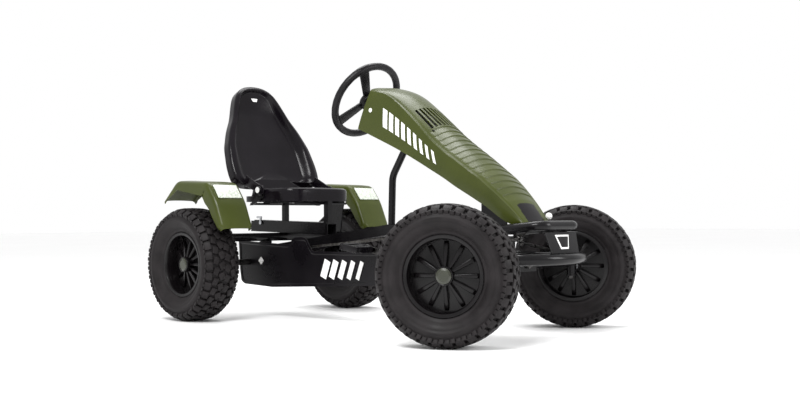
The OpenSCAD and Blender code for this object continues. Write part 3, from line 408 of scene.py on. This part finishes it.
def table(rows, x):
    """A value read from a table of (x, value) rows, in a straight line between them."""
    if x <= rows[0][0]:
        return rows[0][1]
    for (a, va), (b, vb) in zip(rows, rows[1:]):
        if x <= b:
            return va + (vb - va) * (x - a) / (b - a)
    return rows[-1][1]


def ease(a, b, x):
    x = min(max((x - a) / (b - a), 0), 1)
    return x * x * (3 - 2 * x)


# %% [markdown]
# ## Tyres
# An off-road kart tyre is a rounded carcass with rows of rubber blocks. The carcass is one
# closed section spun round the axle. One slice of tread, a block from each row, is modelled and
# then repeated round the carcass by an array, which is how the mould itself is laid out.

# %% The carcass
carcass_half = [(0.2215, 0), (0.2205, 0.026), (0.2180, 0.045), (0.2130, 0.058), (0.2060, 0.068),
    (0.1985, 0.0755), (0.1930, 0.0770), (0.1900, 0.0808), (0.1830, 0.0815), (0.1760, 0.0806),
    (0.1740, 0.0780), (0.1680, 0.0772), (0.1600, 0.0735), (0.1520, 0.0678), (0.1450, 0.0606),
    (0.1405, 0.0570), (0.1370, 0.0562), (0.1340, 0.0530), (0.1330, 0.0507), (0.1228, 0.0507)]
inside_half = [(0.1228, 0.040), (0.132, 0.042), (0.146, 0.053), (0.165, 0.067), (0.192, 0.071),
    (0.212, 0.055), (0.2165, 0.030)]
section = carcass_half + inside_half
section += [(0.217, 0.0)] + [(r, -w) for r, w in reversed(inside_half)]
section += [(r, -w) for r, w in reversed(carcass_half[1:])]
carcass = turned_piece("carcass", section, 108)
print("carcass section of", len(section), "points")

# %% [markdown]
# The tread is deep rubber blocks in staggered rows, with small lugs on the shoulder. They could
# be a bump pattern, but then the outline would stay round, so the blocks are real geometry. The
# six blocks and four lugs of one slice are modelled, and the array carries them round.

# %% One slice of tread, then all round
BLOCKS = 34
rows = [(0.2252, 0.013, 0.0255, 0.000, 3, 0.010), (0.2238, 0.040, 0.0225, 0.5, 8, 0.010),
    (0.2128, 0.0640, 0.0270, 0.0, 38, 0.011)]
pitch_angle = 2 * math.pi / BLOCKS
slice_blocks = []
for hand in (1, -1):
    for k, (r, w, width, shift, tilt, tall) in enumerate(rows):
        a = (shift + (0.25 if hand < 0 else 0)) * pitch_angle
        length = 2 * math.pi * r / BLOCKS * (0.74 if k == 2 else 0.70)
        b = box_piece("block", (tall, width, length), (0, 0, 0), 0.0022)
        spin = Matrix.Rotation(-a, 4, "Y")
        lean = Matrix.Translation((r, hand * w, 0)) @ Matrix.Rotation(hand * math.radians(tilt), 4, "Z")
        twist = Matrix.Rotation(math.radians((22, -16, 0)[k] * hand), 4, "X")
        b.matrix_world = spin @ lean @ twist
        slice_blocks.append(b)
    for step, out, tall in ((0.0, 0.0742, 0.022), (0.5, 0.0748, 0.028)):
        lug = box_piece("lug", (tall, 0.0048, 2 * math.pi * 0.2 / BLOCKS * 0.40), (0, 0, 0), 0.0012)
        a = (step + (0.25 if hand < 0 else 0)) * pitch_angle
        lean = Matrix.Rotation(hand * math.radians(30), 4, "Z")
        lug.matrix_world = Matrix.Rotation(-a, 4,
            "Y") @ Matrix.Translation((0.2000 - step * 0.006, hand * out, 0)) @ lean
        slice_blocks.append(lug)
for b in slice_blocks:
    settle(b)
tread = joined("tread", slice_blocks)
repeated_round(tread, BLOCKS, -1)
smooth(tread, 30)
smooth(carcass, 50)
tyre_model = joined("tyre_model", [carcass, tread])
tyre_model.data.materials.append(tyre_rubber)
print("tyre:", len(tyre_model.data.polygons), "faces")

# %% [markdown]
# ## Wheels
# The plastic wheel is a deep dish: a barrel with rolled flanges, a disc set back inside it,
# thin blades standing on both faces of the disc, and a hub that reaches out to the cap. Barrel,
# disc and hub are one spun section each, and one pair of tapered blades is repeated round the hub.

# %% Rim, disc and hub
barrel = turned_piece("barrel", [(0.1188, -0.0550), (0.1305, -0.0550), (0.1320, -0.0540), (0.1320, -0.0516),
    (0.1235, -0.0508),
    (0.1220, -0.0490), (0.1215, 0.0), (0.1220, 0.0490), (0.1235, 0.0508), (0.1318, 0.0516), (0.1324,
        0.0538), (0.1305, 0.0552),
    (0.1240, 0.0550), (0.1200, 0.0535), (0.1165, 0.0470), (0.1145, 0.0300), (0.1150, 0.0060), (0.1185,
        -0.0020)], 96)
disc = turned_piece("disc", [(0.024, 0.0), (0.116, -0.001), (0.1175, 0.005), (0.100, 0.0045),
    (0.060, 0.0055), (0.040, 0.010),
    (0.024, 0.013)], 96)
hub = turned_piece("hub", [(0.0120, -0.0258), (0.0235, -0.0258), (0.0248, -0.0245), (0.0250, 0.022),
    (0.0262, 0.029), (0.0305, 0.0335),
    (0.0318, 0.0365), (0.0318, 0.0440), (0.0305, 0.0460), (0.0280, 0.0462), (0.0262, 0.0450), (0.0262,
        0.0382), (0.0176, 0.0378),
    (0.0176, -0.010), (0.0120, -0.010)], 64)
BLADES = 12
blades = []
for outer in (1, -1):
    blade = box_piece("blade", (0.086, 0.022, 0.0085), (0.0710, outer * 0.0135, 0), 0)
    edit(blade)
    pick(blade, lambda c, n: c.x > 0.1, "verts")
    bpy.ops.transform.resize(value=(1, 1, 1.9), center_override=(0.114, 0, 0))
    pick(blade, lambda c, n: c.x > 0.1 and outer * c.y > 0.02, "verts")
    bpy.ops.transform.translate(value=(-0.010, outer * -0.012, 0))
    pick(blade, lambda c, n: c.x < 0.04 and outer * c.y > 0.02, "verts")
    bpy.ops.transform.translate(value=(0, outer * 0.006, 0))
    leave()
    modify(blade, "BEVEL", width=0.0026, segments=3)
    blades.append(blade)
blade = joined("blade", blades)
repeated_round(blade, BLADES)
rim_model = joined("rim_model", [barrel, disc, hub, blade])
rim_model.data.materials.append(rim_black)
smooth(rim_model, 38)
print("rim:", len(rim_model.data.polygons), "faces")

# %% [markdown]
# The four wheels are the same moulding. Each could be modelled in its place, but copies of one
# tyre and one rim are surer to match. The front two are turned about their kingpins, and the
# right ones are turned to face outwards.

# %% Copies at the four corners
front_x, rear_x, axle_z = 0.6755, -0.6755, 0.230
KINGPIN, SCRUB, REAR_MIDDLE = 0.321, 0.097, 0.4325  # distances out from the middle, kingpin and middle
corners = {
    "front_right": (-1, 27.6, "wheel_front_right"),
    "front_left": (1, 30.0, "wheel_front_left"),
    "rear_right": (-1, 0, "rear_drive"),
    "rear_left": (1, 0, "rear_drive"),
}


def copied(model, name, matrix):
    take(model)
    bpy.ops.object.duplicate(linked=False)
    obj = newest(name)
    obj.matrix_world = matrix
    return settle(obj)


for corner, (hand, turn, body) in corners.items():
    if turn:
        pivot = Matrix.Translation((front_x - AHEAD, hand * KINGPIN, axle_z)) @ Matrix.Rotation(math.radians(turn), 4, "Z")
        spot = pivot @ Matrix.Translation((0, hand * SCRUB, 0))
    else:
        spot = Matrix.Translation((rear_x - AHEAD, hand * REAR_MIDDLE, axle_z))
    spot = spot @ Matrix.Rotation(0 if hand > 0 else math.pi, 4, "Z")
    fit(copied(tyre_model, "tyre_" + corner + "_tread", spot), body, "tyre_rubber", "tyre_" + corner)
    fit(copied(rim_model, "rim_" + corner + "_dish", spot), body, "black_plastic", "rim_" + corner)
for model in (tyre_model, rim_model):
    bpy.data.objects.remove(model)

# %% [markdown]
# ## Bonnet
# The bonnet is one thin moulding, open underneath. Three curves guide it: the crown along the
# middle, the crease on each shoulder and the lower edge. A sheet is stretched over them; near the
# driver the shoulder is round, and towards the nose it sharpens. Cooling slots are cut through
# the top, and cross ribs run from there to the nose.

# %% Guide curves
crown = Curve([(0.032, 0.925), (0.096, 0.917), (0.160, 0.895), (0.222, 0.856), (0.351, 0.760),
    (0.442, 0.695), (0.531, 0.633),
    (0.635, 0.548), (0.715, 0.465), (0.766, 0.402)])
crease = Curve([(0.042, 0.906), (0.132, 0.884), (0.209, 0.834), (0.291, 0.768), (0.372, 0.697),
    (0.442, 0.648), (0.490, 0.619),
    (0.549, 0.581), (0.597, 0.550), (0.693, 0.469), (0.765, 0.396)])
low_edge = Curve([(-0.025, 0.764), (0.035, 0.740), (0.220, 0.664), (0.419, 0.568), (0.504, 0.521),
    (0.615, 0.459), (0.713, 0.393),
    (0.764, 0.390)])
half_top = [(0.0, 0.100), (0.15, 0.103), (0.30, 0.108), (0.45, 0.114), (0.57, 0.118), (0.70, 0.114),
    (0.80, 0.104), (0.90, 0.088), (1.0, 0.072)]
half_low = [(0.0, 0.105), (0.25, 0.113), (0.50, 0.119), (0.65, 0.119), (0.78, 0.110), (0.90, 0.092),
    (1.0, 0.070)]
LONG, HALF, ABOVE = 288, 48, 27  # cells along the sheet, across half of it, and of those above the crease
SHARE = ABOVE / HALF
RIB_FROM, RIBS, RIB_CELLS = 118, 14, 10


def bonnet_shape(u, v):
    a = abs(v)
    k, c, l = crown.at(u), crease.at(u), low_edge.at(u)
    wide = table(half_top, u)
    if a <= SHARE:
        t = a / SHARE
        flat = 0.25 + 0.75 * ease(0.0, 0.30, u)
        y = wide * ((1 - flat) * math.sin(t * math.pi / 2) + flat * t)
        h = (1 - flat) * math.cos(t * math.pi / 2) + flat * (1 - t * t)
        x, z = c.x + (k.x - c.x) * h, c.y + (k.y - c.y) * h
        # overlapping cross ribs between the slots and the nose, and a line along the crease
        rib = (u * LONG - RIB_FROM) / RIB_CELLS
        dip = 0.0018 * math.exp(-(((t - 0.91) / 0.03) ** 2)) * ease(0.02, 0.10, u)
        if -0.01 < rib < RIBS - 0.01:
            dip += 0.0034 * (1 - (rib + 1e-4) % 1) * (1 - ease(0.74, 0.86, t))
        x, z = x - dip * 0.55, z - dip * 0.83
    else:
        t = (a - SHARE) / (1 - SHARE)
        y = wide + (table(half_low, u) - wide) * t + 0.004 * math.sin(t * math.pi)
        x, z = c.x + (l.x - c.x) * t, c.y + (l.y - c.y) * t
    return Vector((x, math.copysign(y, v) if a > 1e-9 else 0, z))


# %% [markdown]
# The bonnet's wall is a few millimetres thick and open below. The slots could be cut afterwards
# with a boolean, but leaving cells out of the sheet before it is bent gives cleaner edges.

# %% The moulding
def in_slot(u, v):
    lane = math.floor(v * HALF + 20)
    return 0 <= lane < 40 and lane % 5 in (1, 2, 3) and 0.258 < crown.at(u).x < 0.352


OLIVE_WALL = 0.0034
bonnet = formed_sheet("bonnet_shell", (LONG, 2 * HALF), bonnet_shape, in_slot)
thickened(bonnet, OLIVE_WALL)
bonnet.data.materials.append(olive)
bonnet.data.materials.append(satin_black)
bonnet.data.materials.append(white_gloss)
for face in bonnet.data.polygons:
    c = face.center
    if c.x > 0.716 and abs(c.y) < 0.046 and c.z > 0.400:
        face.material_index = 1
to_kart(bonnet)
smooth(bonnet, 24)
fit(bonnet, "chassis", "olive_plastic", "bonnet")

# %% [markdown]
# A printed graphic runs along each side. It could be a texture, but a thin raised print keeps
# sharp edges. Plain slanted bars are used, bent over the same guide curves as the sheet.

# %% A plain white graphic along each side
marks = []
for hand in (-1, 1):
    for k in range(9):
        start, long = 0.135 + 0.044 * k, 0.031 - 0.0016 * k

        def mark_shape(u, v, start=start, long=long, hand=hand):
            down = 0.30 + 0.38 * (v + 1) / 2 - 0.10 * (start - 0.135)
            q = bonnet_shape(start + long * u + 0.018 * v, hand * (SHARE + (1 - SHARE) * down))
            return q + Vector((0, hand * 0.0006, 0))

        mark = formed_sheet("mark", (6, 6), mark_shape)
        modify(mark, "SOLIDIFY", thickness=0.0008, offset=0)
        marks.append(mark)
marks = to_kart(joined("bonnet_graphic", marks))
marks.data.materials.append(white_gloss)
fit(marks, "chassis", "white_plastic")

# %% [markdown]
# ## Fenders
# Each fender is a sheet bent over the tyre: flat across the top with round shoulders that turn
# down into skirts, deeper where the arch clears the wheel. The outline is a line of straight
# runs whose corners are softened by averaging, as a mould maker would blend them.

# %% The fender form
def softened(points, reach, count=220):
    line = [Vector(p) for p in points]
    total = sum((b - a).length for a, b in zip(line, line[1:]))

    def spot(s):
        s = min(max(s, 0), total)
        for a, b in zip(line, line[1:]):
            d = (b - a).length
            if s <= d or b is line[-1]:
                return a + (b - a) * (s / d)
            s -= d

    out = []
    for i in range(count + 1):
        s = total * i / count
        w = min(reach, s, total - s)
        out.append(sum((spot(s + w * k / 6) for k in range(-6, 7)), Vector((0, 0))) / 13)
    return out


outline = softened([(-0.852, 0.497), (-0.757, 0.577), (-0.535, 0.566), (-0.475, 0.490), (-0.425, 0.378)],
    0.022)
skirt_depth = [(0, 0.012), (0.15, 0.032), (0.40, 0.048), (0.60, 0.060), (0.72, 0.062), (0.88, 0.045),
    (1.0, 0.026)]
FENDER_HALF, SHOULDER, CROWNING = 0.0775, 0.017, 0.0025


def fender_shape(u, v):
    n = len(outline) - 1
    i = min(int(u * n), n - 1)
    p = outline[i].lerp(outline[i + 1], u * n - i)
    run = (outline[i + 1] - outline[i]).normalized()
    down = Vector((-run.y, run.x)) * -1
    a = abs(v)
    if a < 0.62:
        y, d = a / 0.62 * (FENDER_HALF - SHOULDER), CROWNING * (a / 0.62) ** 2
    elif a < 0.80:
        t = (a - 0.62) / 0.18 * math.pi / 2
        y = FENDER_HALF - SHOULDER + SHOULDER * math.sin(t)
        d = CROWNING + SHOULDER * (1 - math.cos(t))
    else:
        t = (a - 0.80) / 0.20
        y = FENDER_HALF
        d = CROWNING + SHOULDER + max(table(skirt_depth, u) - SHOULDER, 0) * t
    # the lower end draws in a little
    y *= 1 - 0.10 * ease(0.955, 1.0, u) ** 2
    q = p + down * d
    return Vector((q.x, math.copysign(y, v), q.y))


# %% Both fenders
FENDER_MID = 0.3825
for hand, word in ((-1, "right"), (1, "left")):
    fender = formed_sheet("fender_" + word + "_skin", (150, 44), fender_shape)
    outwards(fender)
    thickened(fender, OLIVE_WALL)
    take(fender)
    bpy.ops.transform.translate(value=(-AHEAD, hand * FENDER_MID, 0))
    settle(fender)
    fender.data.materials.append(olive)
    smooth(fender, 40)
    fit(fender, "chassis", "olive_plastic", "fender_" + word)

# %% [markdown]
# Each fender carries a silver prism reflector on its slanted front face. The prisms could be
# modelled one by one, but they are too fine to see, so a cell pattern in the finish stands in.

# %% Reflectors on the slanted faces
panel_mid = Vector((-0.5015, 0.5255))
panel_lean = math.atan2(0.566 - 0.490, 0.535 - 0.475)
panels = []
for hand in (-1, 1):
    panel = box_piece("panel", (0.066, 0.112, 0.005), (panel_mid.x - AHEAD, hand * FENDER_MID, panel_mid.y),
        0.0015, (0, panel_lean, 0))
    panels.append(panel)
reflectors = joined("fender_reflector_panels", panels)
reflectors.data.materials.append(silver_prism)
smooth(reflectors, 30)
fit(reflectors, "chassis", "reflector_silver", "fender_reflectors")

# %% [markdown]
# ## Seat
# The bucket seat is blow moulded: a hollow panel between two swollen bolsters that roll over to
# the back. It could be sculpted, but a sheet that runs out from the spine and follows a cross
# section is easier to correct. It is wide at the hips and narrow at the head, and two flat arms
# with round bosses reach down to the pivots.

# %% The seat back
LEAN = math.radians(23.1)
FOOT_X, FOOT_Z = -0.630, 0.550  # where the back's own axes start
PIVOT_X, PIVOT_Z, ARM_Y = -0.535, 0.535, 0.1904
half_rim = [(0.150, 0.010), (0.200, 0.014), (0.226, 0.030), (0.234, 0.062), (0.234, 0.115), (0.222, 0.200),
    (0.190, 0.280),
    (0.155, 0.342), (0.132, 0.402), (0.113, 0.446), (0.093, 0.474), (0.064, 0.494), (0.032, 0.5025)]
rim_points = [(0.0, 0.010)] + half_rim + [(0.0, 0.5045)] + [(-y, b) for y,
    b in reversed(half_rim)] + [(0.0, 0.010)]
rim_loop = softened(rim_points, 0.020, 240)
bolster = [(0.0, 0.080), (0.115, 0.074), (0.20, 0.062), (0.28, 0.052), (0.34, 0.042), (0.40, 0.036),
    (0.50, 0.030)]


def back_shape(u, v):
    n = len(rim_loop) - 1
    i = min(int((v + 1) / 2 * n), n - 1)
    p = rim_loop[i].lerp(rim_loop[i + 1], (v + 1) / 2 * n - i)
    spine = Vector((0, min(max(p.y, 0.10), 0.37)))
    whole = (p - spine).length
    w = table(bolster, p.y)
    if u < 0.5:
        far, deep = u / 0.5 * (whole - w), 1.0
    elif u < 0.68:
        t = (u - 0.5) / 0.18
        far, deep = whole - w + 0.5 * w * t, 1 - ease(0, 1, t)
    elif u < 0.80:
        t = (u - 0.68) / 0.12
        far, deep = whole - 0.5 * w + (0.5 * w - 0.014) * t, -0.08 * math.sin(t * math.pi)
    elif u < 0.92:
        t = (u - 0.80) / 0.12 * math.pi / 2
        far, deep = whole - 0.014 + 0.014 * math.sin(t), 0.014 / 0.036 * (1 - math.cos(t))
    else:
        far, deep = whole, (0.014 + 0.031 * (u - 0.92) / 0.08) / 0.036
    flush = (1 - ease(0.150, 0.190, abs(p.x))) * (1 - ease(0.03, 0.06, p.y))
    far = far * (1 - flush) + u * whole * flush
    q = spine + (p - spine) * (far / max(whole, 1e-6))
    recess = 0.036 * (1 - 0.5 * ease(0.37, 0.47, q.y))
    c = -recess * min(deep, 1) - 0.036 * max(deep - 1, 0)
    if u >= 0.80:
        c = -0.036 * deep
    c = c * (1 - flush) - 0.036 * flush
    if u < 0.5:
        c -= 0.006 * (1 - (u / 0.5) ** 2) * ease(0.0, 0.06, q.y)
    if u > 0.995:
        c = -0.045
    x = FOOT_X + c * math.cos(LEAN) - q.y * math.sin(LEAN)
    return Vector((x, q.x, FOOT_Z + q.y * math.cos(LEAN) + c * math.sin(LEAN)))


seat_back = formed_sheet("seat_back_shell", (72, 240), back_shape)
edit(seat_back)
bpy.ops.mesh.select_all(action="SELECT")
bpy.ops.mesh.remove_doubles(threshold=0.0003)
bpy.ops.mesh.select_mode(type="EDGE")
bpy.ops.mesh.select_all(action="DESELECT")
bpy.ops.mesh.select_non_manifold(extend=False, use_wire=False, use_boundary=True, use_multi_face=False,
    use_non_contiguous=False, use_verts=False)
bpy.ops.mesh.edge_face_add()
bpy.ops.mesh.inset(thickness=0.012, depth=0)
bpy.ops.transform.translate(value=(-0.004 * math.cos(LEAN), 0, -0.004 * math.sin(LEAN)))
bpy.ops.mesh.select_all(action="SELECT")
bpy.ops.mesh.normals_make_consistent(inside=False)
leave()
arms = []
for hand in (-1, 1):
    arm = box_piece("arm", (0.122, 0.0065, 0.046), (-0.584, hand * ARM_Y, 0.5560), 0, (0, math.radians(23),
        0))
    edit(arm)
    pick(arm, lambda c, n: c.x > -0.55, "verts")
    bpy.ops.transform.resize(value=(1, 1, 0.72), center_override=(PIVOT_X, 0, PIVOT_Z))
    leave()
    modify(arm, "BEVEL", width=0.0028, segments=3)
    boss = round_piece("boss", 0.023, 0.0065, (PIVOT_X, hand * ARM_Y, PIVOT_Z), (math.pi / 2, 0, 0))
    modify(boss, "BEVEL", width=0.002, segments=3, limit_method="ANGLE")
    arms += [arm, boss]
seat_back = joined("seat_back_shell", [seat_back] + arms)
to_kart(seat_back)
seat_back.data.materials.clear()
seat_back.data.materials.append(seat_black)
smooth(seat_back, 42)
fit(seat_back, "seat_back", "black_plastic", "seat_back")

# %% [markdown]
# The seat has a small badge near its top and one on each pivot. Blank ones are used: a six sided
# plate above, and a ringed disc on each side. They are separate pieces, so they can be left off.

# %% Plain badges on the back and on the pivots
BADGE_UP, BADGE_FORWARD = 0.452, -0.0235  # along the back and out of it, from its foot
badge = round_piece("badge", 0.019, 0.003, vertices=6)
modify(badge, "BEVEL", width=0.0012, segments=2, limit_method="ANGLE")
badge_x = FOOT_X + BADGE_FORWARD * math.cos(LEAN) - BADGE_UP * math.sin(LEAN)
badge_z = FOOT_Z + BADGE_UP * math.cos(LEAN) + BADGE_FORWARD * math.sin(LEAN)
badge.matrix_world = Matrix.Translation((badge_x, 0, badge_z)) @ Matrix.Rotation(math.pi / 2 - LEAN, 4, "Y")
badges = [settle(badge)]
for hand in (-1, 1):
    badge = round_piece("badge", 0.0125, 0.0016, (PIVOT_X, hand * 0.2069, PIVOT_Z), (math.pi / 2, 0, 0))
    edit(badge)
    pick(badge, lambda c, n: hand * n.y > 0.9)
    bpy.ops.mesh.inset(thickness=0.003, depth=0)
    bpy.ops.mesh.inset(thickness=0.0006, depth=-0.0006)
    leave()
    badges.append(badge)
badges = to_kart(joined("seat_badges", badges))
badges.data.materials.append(white_gloss)
smooth(badges, 30)
fit(badges, "seat_back", "white_plastic")

# %% [markdown]
# The base is a shallow tray with a pan pressed into it. It could be a box cut down by hand, but
# rings of a rounded rectangle, each with its own height, give the pan and the rolled rim at once.

# %% The seat base
def base_shape(u, v):
    """The top and sides of the base: u runs from the middle outwards, v goes round it."""
    ang = v * math.pi
    # rounded rectangle boundary, with large front corners
    ca, sa = math.cos(ang), math.sin(ang)
    hx, hy = 0.1655, 0.180
    n = 4.2 if ca > 0 else 7.0
    r = (abs(ca / hx) ** n + abs(sa / hy) ** n) ** (-1 / n)
    top = 0.80  # share of the sheet that lies on the top
    if u < top:
        t = u / top
        h = 0.056 - 0.021 * (1 - ease(0.62, 0.93, t)) * (1 - 0.45 * ease(0.2, 0.9, ca * t)) - 0.004 * ease(0.95, 1, t)
        q = t * 0.972
    else:
        t = (u - top) / (1 - top)
        q = 0.972 + 0.028 * math.sin(min(t * 3, 1) * math.pi / 2)
        h = 0.052 - 0.052 * ease(0, 1, t)
    x, y = r * ca * q, r * sa * q
    if x < -0.090:
        h = min(h, 0.024)
    return Vector((-0.5195 + x, y, 0.4872 + h))


seat_base = formed_sheet("seat_base_shell", (44, 120), base_shape)
outwards(seat_base, 0.0002)
thickened(seat_base, 0.0045)
to_kart(seat_base)
seat_base.data.materials.append(seat_black)
smooth(seat_base, 40)
fit(seat_base, "seat", "black_plastic", "seat_base")

# %% [markdown]
# ## Steering wheel
# A moulded rim with three spokes that run into a round hub. The rim is a torus with thumb swells
# beside the spokes, and each spoke is a bevelled bar that thickens where it meets the rim.

# %% Rim, spokes and hub
COLUMN = math.radians(32.8)
rim_r, rim_t = 0.1505, 0.0155
bpy.ops.object.select_all(action="DESELECT")
bpy.ops.mesh.primitive_torus_add(major_segments=120, minor_segments=20, major_radius=rim_r,
    minor_radius=rim_t)
wheel_rim = newest("hand_rim")
spokes_at = [0, math.radians(100), math.radians(-100)]
for v in wheel_rim.data.vertices:
    ang = math.atan2(v.co.y, v.co.x)
    centre = Vector((rim_r * math.cos(ang), rim_r * math.sin(ang), 0))
    near = min(abs((ang - s + math.pi) % (2 * math.pi) - math.pi) for s in spokes_at)
    v.co = centre + (v.co - centre) * (0.93 + 0.07 * (1 - ease(0.10, 0.34, near)) + 0.012 * math.cos(ang * 30))
parts = [wheel_rim]
for s in spokes_at:
    spoke = box_piece("spoke", (0.116, 0.030, 0.012), (0.084, 0, 0.008), 0)
    edit(spoke)
    pick(spoke, lambda c, n: c.x > 0.12, "verts")
    bpy.ops.transform.resize(value=(1, 1.35, 1.2), center_override=(0.142, 0, 0.003))
    leave()
    modify(spoke, "BEVEL", width=0.0032, segments=3)
    spoke.matrix_world = Matrix.Rotation(s, 4, "Z")
    parts.append(settle(spoke))
hand_hub = round_piece("hand_hub", 0.036, 0.026, (0, 0, 0.013), vertices=64)
modify(hand_hub, "BEVEL", width=0.004, segments=3, limit_method="ANGLE")
parts.append(hand_hub)
steering = joined("steering_wheel_rim", parts)
steering.matrix_world = (
    Matrix.Translation((-0.088 - AHEAD, 0, 0.888))
    @ Matrix.Rotation(math.pi / 2 + COLUMN, 4, "Y")
    @ Matrix.Rotation(math.radians(-47), 4, "Z")
)
settle(steering)
steering.data.materials.append(grip_rubber)
smooth(steering, 40)
fit(steering, "steering", "grip_rubber", "steering_wheel")

# %% [markdown]
# ## Chain guard
# The guard is a shallow moulded tray that stands on edge and hides the chain. It could be cut
# from a block, but its outline is simpler to draw once and fill. The panel is set back a little
# from its rim, and strips along the lower edge make the tray's lip.

# %% The guard
guard_line = [(-0.7435, 0.322), (-0.735, 0.200), (-0.7255, 0.150), (-0.710, 0.140), (-0.6975, 0.136),
    (-0.5105, 0.129), (-0.237, 0.142),
    (0.275, 0.167), (0.296, 0.175), (0.307, 0.190), (0.307, 0.258), (0.300, 0.268), (0.285, 0.273), (0.120,
        0.285), (-0.240, 0.283), (-0.252, 0.286),
    (-0.262, 0.296), (-0.282, 0.326), (-0.290, 0.334), (-0.307, 0.338), (-0.358, 0.338), (-0.370,
        0.334), (-0.400, 0.312), (-0.415, 0.309), (-0.600, 0.316)]
bpy.ops.object.select_all(action="DESELECT")
bpy.ops.mesh.primitive_circle_add(vertices=len(guard_line), radius=1, fill_type="NGON")
guard = newest("chain_guard_tray")
for v, (x, z) in zip(guard.data.vertices, guard_line):
    v.co = (x, -0.150, z)
edit(guard)
bpy.ops.mesh.select_all(action="SELECT")
bpy.ops.mesh.inset(thickness=0.010, depth=0)
bpy.ops.mesh.inset(thickness=0.004, depth=0)
bpy.ops.transform.translate(value=(0, 0.0025, 0))
leave()
modify(guard, "SOLIDIFY", thickness=0.0028, offset=-1 if guard.data.polygons[-1].normal.y < 0 else 1)
lips = []
for (x0, z0), (x1, z1) in zip(guard_line[1:8], guard_line[2:9]):
    length = math.hypot(x1 - x0, z1 - z0)
    lips.append(box_piece("lip", (length + 0.002, 0.036, 0.003),
        ((x0 + x1) / 2, -0.131, (z0 + z1) / 2 + 0.0016), 0.0006, (0, -math.atan2(z1 - z0, x1 - x0), 0)))
guard = joined("chain_guard_tray", [guard] + lips)
guard.data.materials.clear()
guard.data.materials.append(satin_black)
to_kart(guard)
smooth(guard, 30)
fit(guard, "chassis", "black_plastic", "chain_guard")

# %% [markdown]
# The guard's panel carries a large print. Five plain slanted bars stand in for it, as thin
# raised pieces for the same reason as on the bonnet.

# %% A plain white graphic on the guard
bars = []
for k in range(5):
    bars.append(box_piece("bar", (0.036 - 0.004 * k, 0.0016, 0.074),
        (-0.170 + 0.050 * k - AHEAD, -0.1502, 0.214), 0.0004, (0, math.radians(22), 0)))
graphic = joined("guard_graphic", bars)
graphic.data.materials.append(white_gloss)
fit(graphic, "chassis", "white_plastic")

# %% [markdown]
# ## Bumper plate and pedals
# The plate between the bumper tubes is pressed steel with rolled edges. It could be a bent
# sheet, but it is nearly flat, so one tapered block is bevelled. The same shape, smaller, gives
# a plain shield and its dark inlay.

# %% Bumper plate with a plain shield
PLATE = math.atan2(0.885 - 0.863, 0.366 - 0.290)


def tapered_plate(name, size, place, taper, **bevel):
    """A block that is narrower at the bottom, with its edges rolled."""
    piece = box_piece(name, size, place, 0)
    edit(piece)
    pick(piece, lambda c, n: c.z < 0, "verts")
    bpy.ops.transform.resize(value=(1, taper, 1))
    leave()
    modify(piece, "BEVEL", **bevel)
    return piece


rolled = {"width": 0.012, "segments": 5, "limit_method": "ANGLE", "angle_limit": math.radians(60)}
plate = tapered_plate("bumper_plate_pressing", (0.005, 0.176, 0.076), (0, 0, 0), 0.865, **rolled)
shield = tapered_plate("shield", (0.003, 0.076, 0.050), (0.0036, 0, 0.002), 0.55, width=0.004, segments=3)
inlay = tapered_plate("shield_inlay", (0.003, 0.064, 0.038), (0.0042, 0, 0.002), 0.55, width=0.003,
    segments=3)
for piece in (plate, shield, inlay):
    piece.matrix_world = Matrix.Translation((0.874 - AHEAD, 0, 0.328)) @ Matrix.Rotation(-PLATE, 4, "Y")
    settle(piece)
plate.data.materials.append(powder_coat)
shield.data.materials.append(white_gloss)
smooth(plate, 40)
smooth(shield, 40)
fit(plate, "chassis", "frame_black", "bumper_plate")
fit(shield, "chassis", "white_plastic")
inlay.data.materials.append(powder_coat)
smooth(inlay, 40)
fit(inlay, "chassis", "frame_black")

# %% [markdown]
# The pedals are open plastic cages with studs. Their pattern is a guess. They could be one
# block with holes, but rails, ribs and studs joined round a barrel are simple to place.

# %% Pedals
for word in ("right", "left"):
    low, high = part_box("pedal_" + word)
    middle = (low + high) / 2
    cage = []
    for y in (-0.036, 0.036):
        cage.append(box_piece("rail", (0.096, 0.013, 0.024), (0, y, 0), 0.004))
    for x in (-0.041, 0.041):
        cage.append(box_piece("bar", (0.012, 0.072, 0.024), (x, 0, 0), 0.004))
    for x in (-0.020, 0.020):
        cage.append(box_piece("rib", (0.006, 0.070, 0.016), (x, 0, 0), 0.002))
    for x in range(-4, 5):
        for y in (-0.036, 0.036):
            cage.append(box_piece("stud", (0.004, 0.010, 0.026), (x * 0.0105, y, 0), 0.001))
    barrel = round_piece("barrel", 0.0115, 0.080, turn=(math.pi / 2, 0, 0), vertices=32)
    modify(barrel, "BEVEL", width=0.002, segments=2, limit_method="ANGLE")
    pedal = joined("pedal_" + word + "_cage", cage + [barrel])
    pedal.matrix_world = Matrix.Translation(middle) @ Matrix.Rotation(math.radians(8), 4, "Y")
    settle(pedal)
    pedal.data.materials.append(satin_black)
    smooth(pedal, 35)
    fit(pedal, "pedal_" + word, "black_plastic", "pedal_" + word)
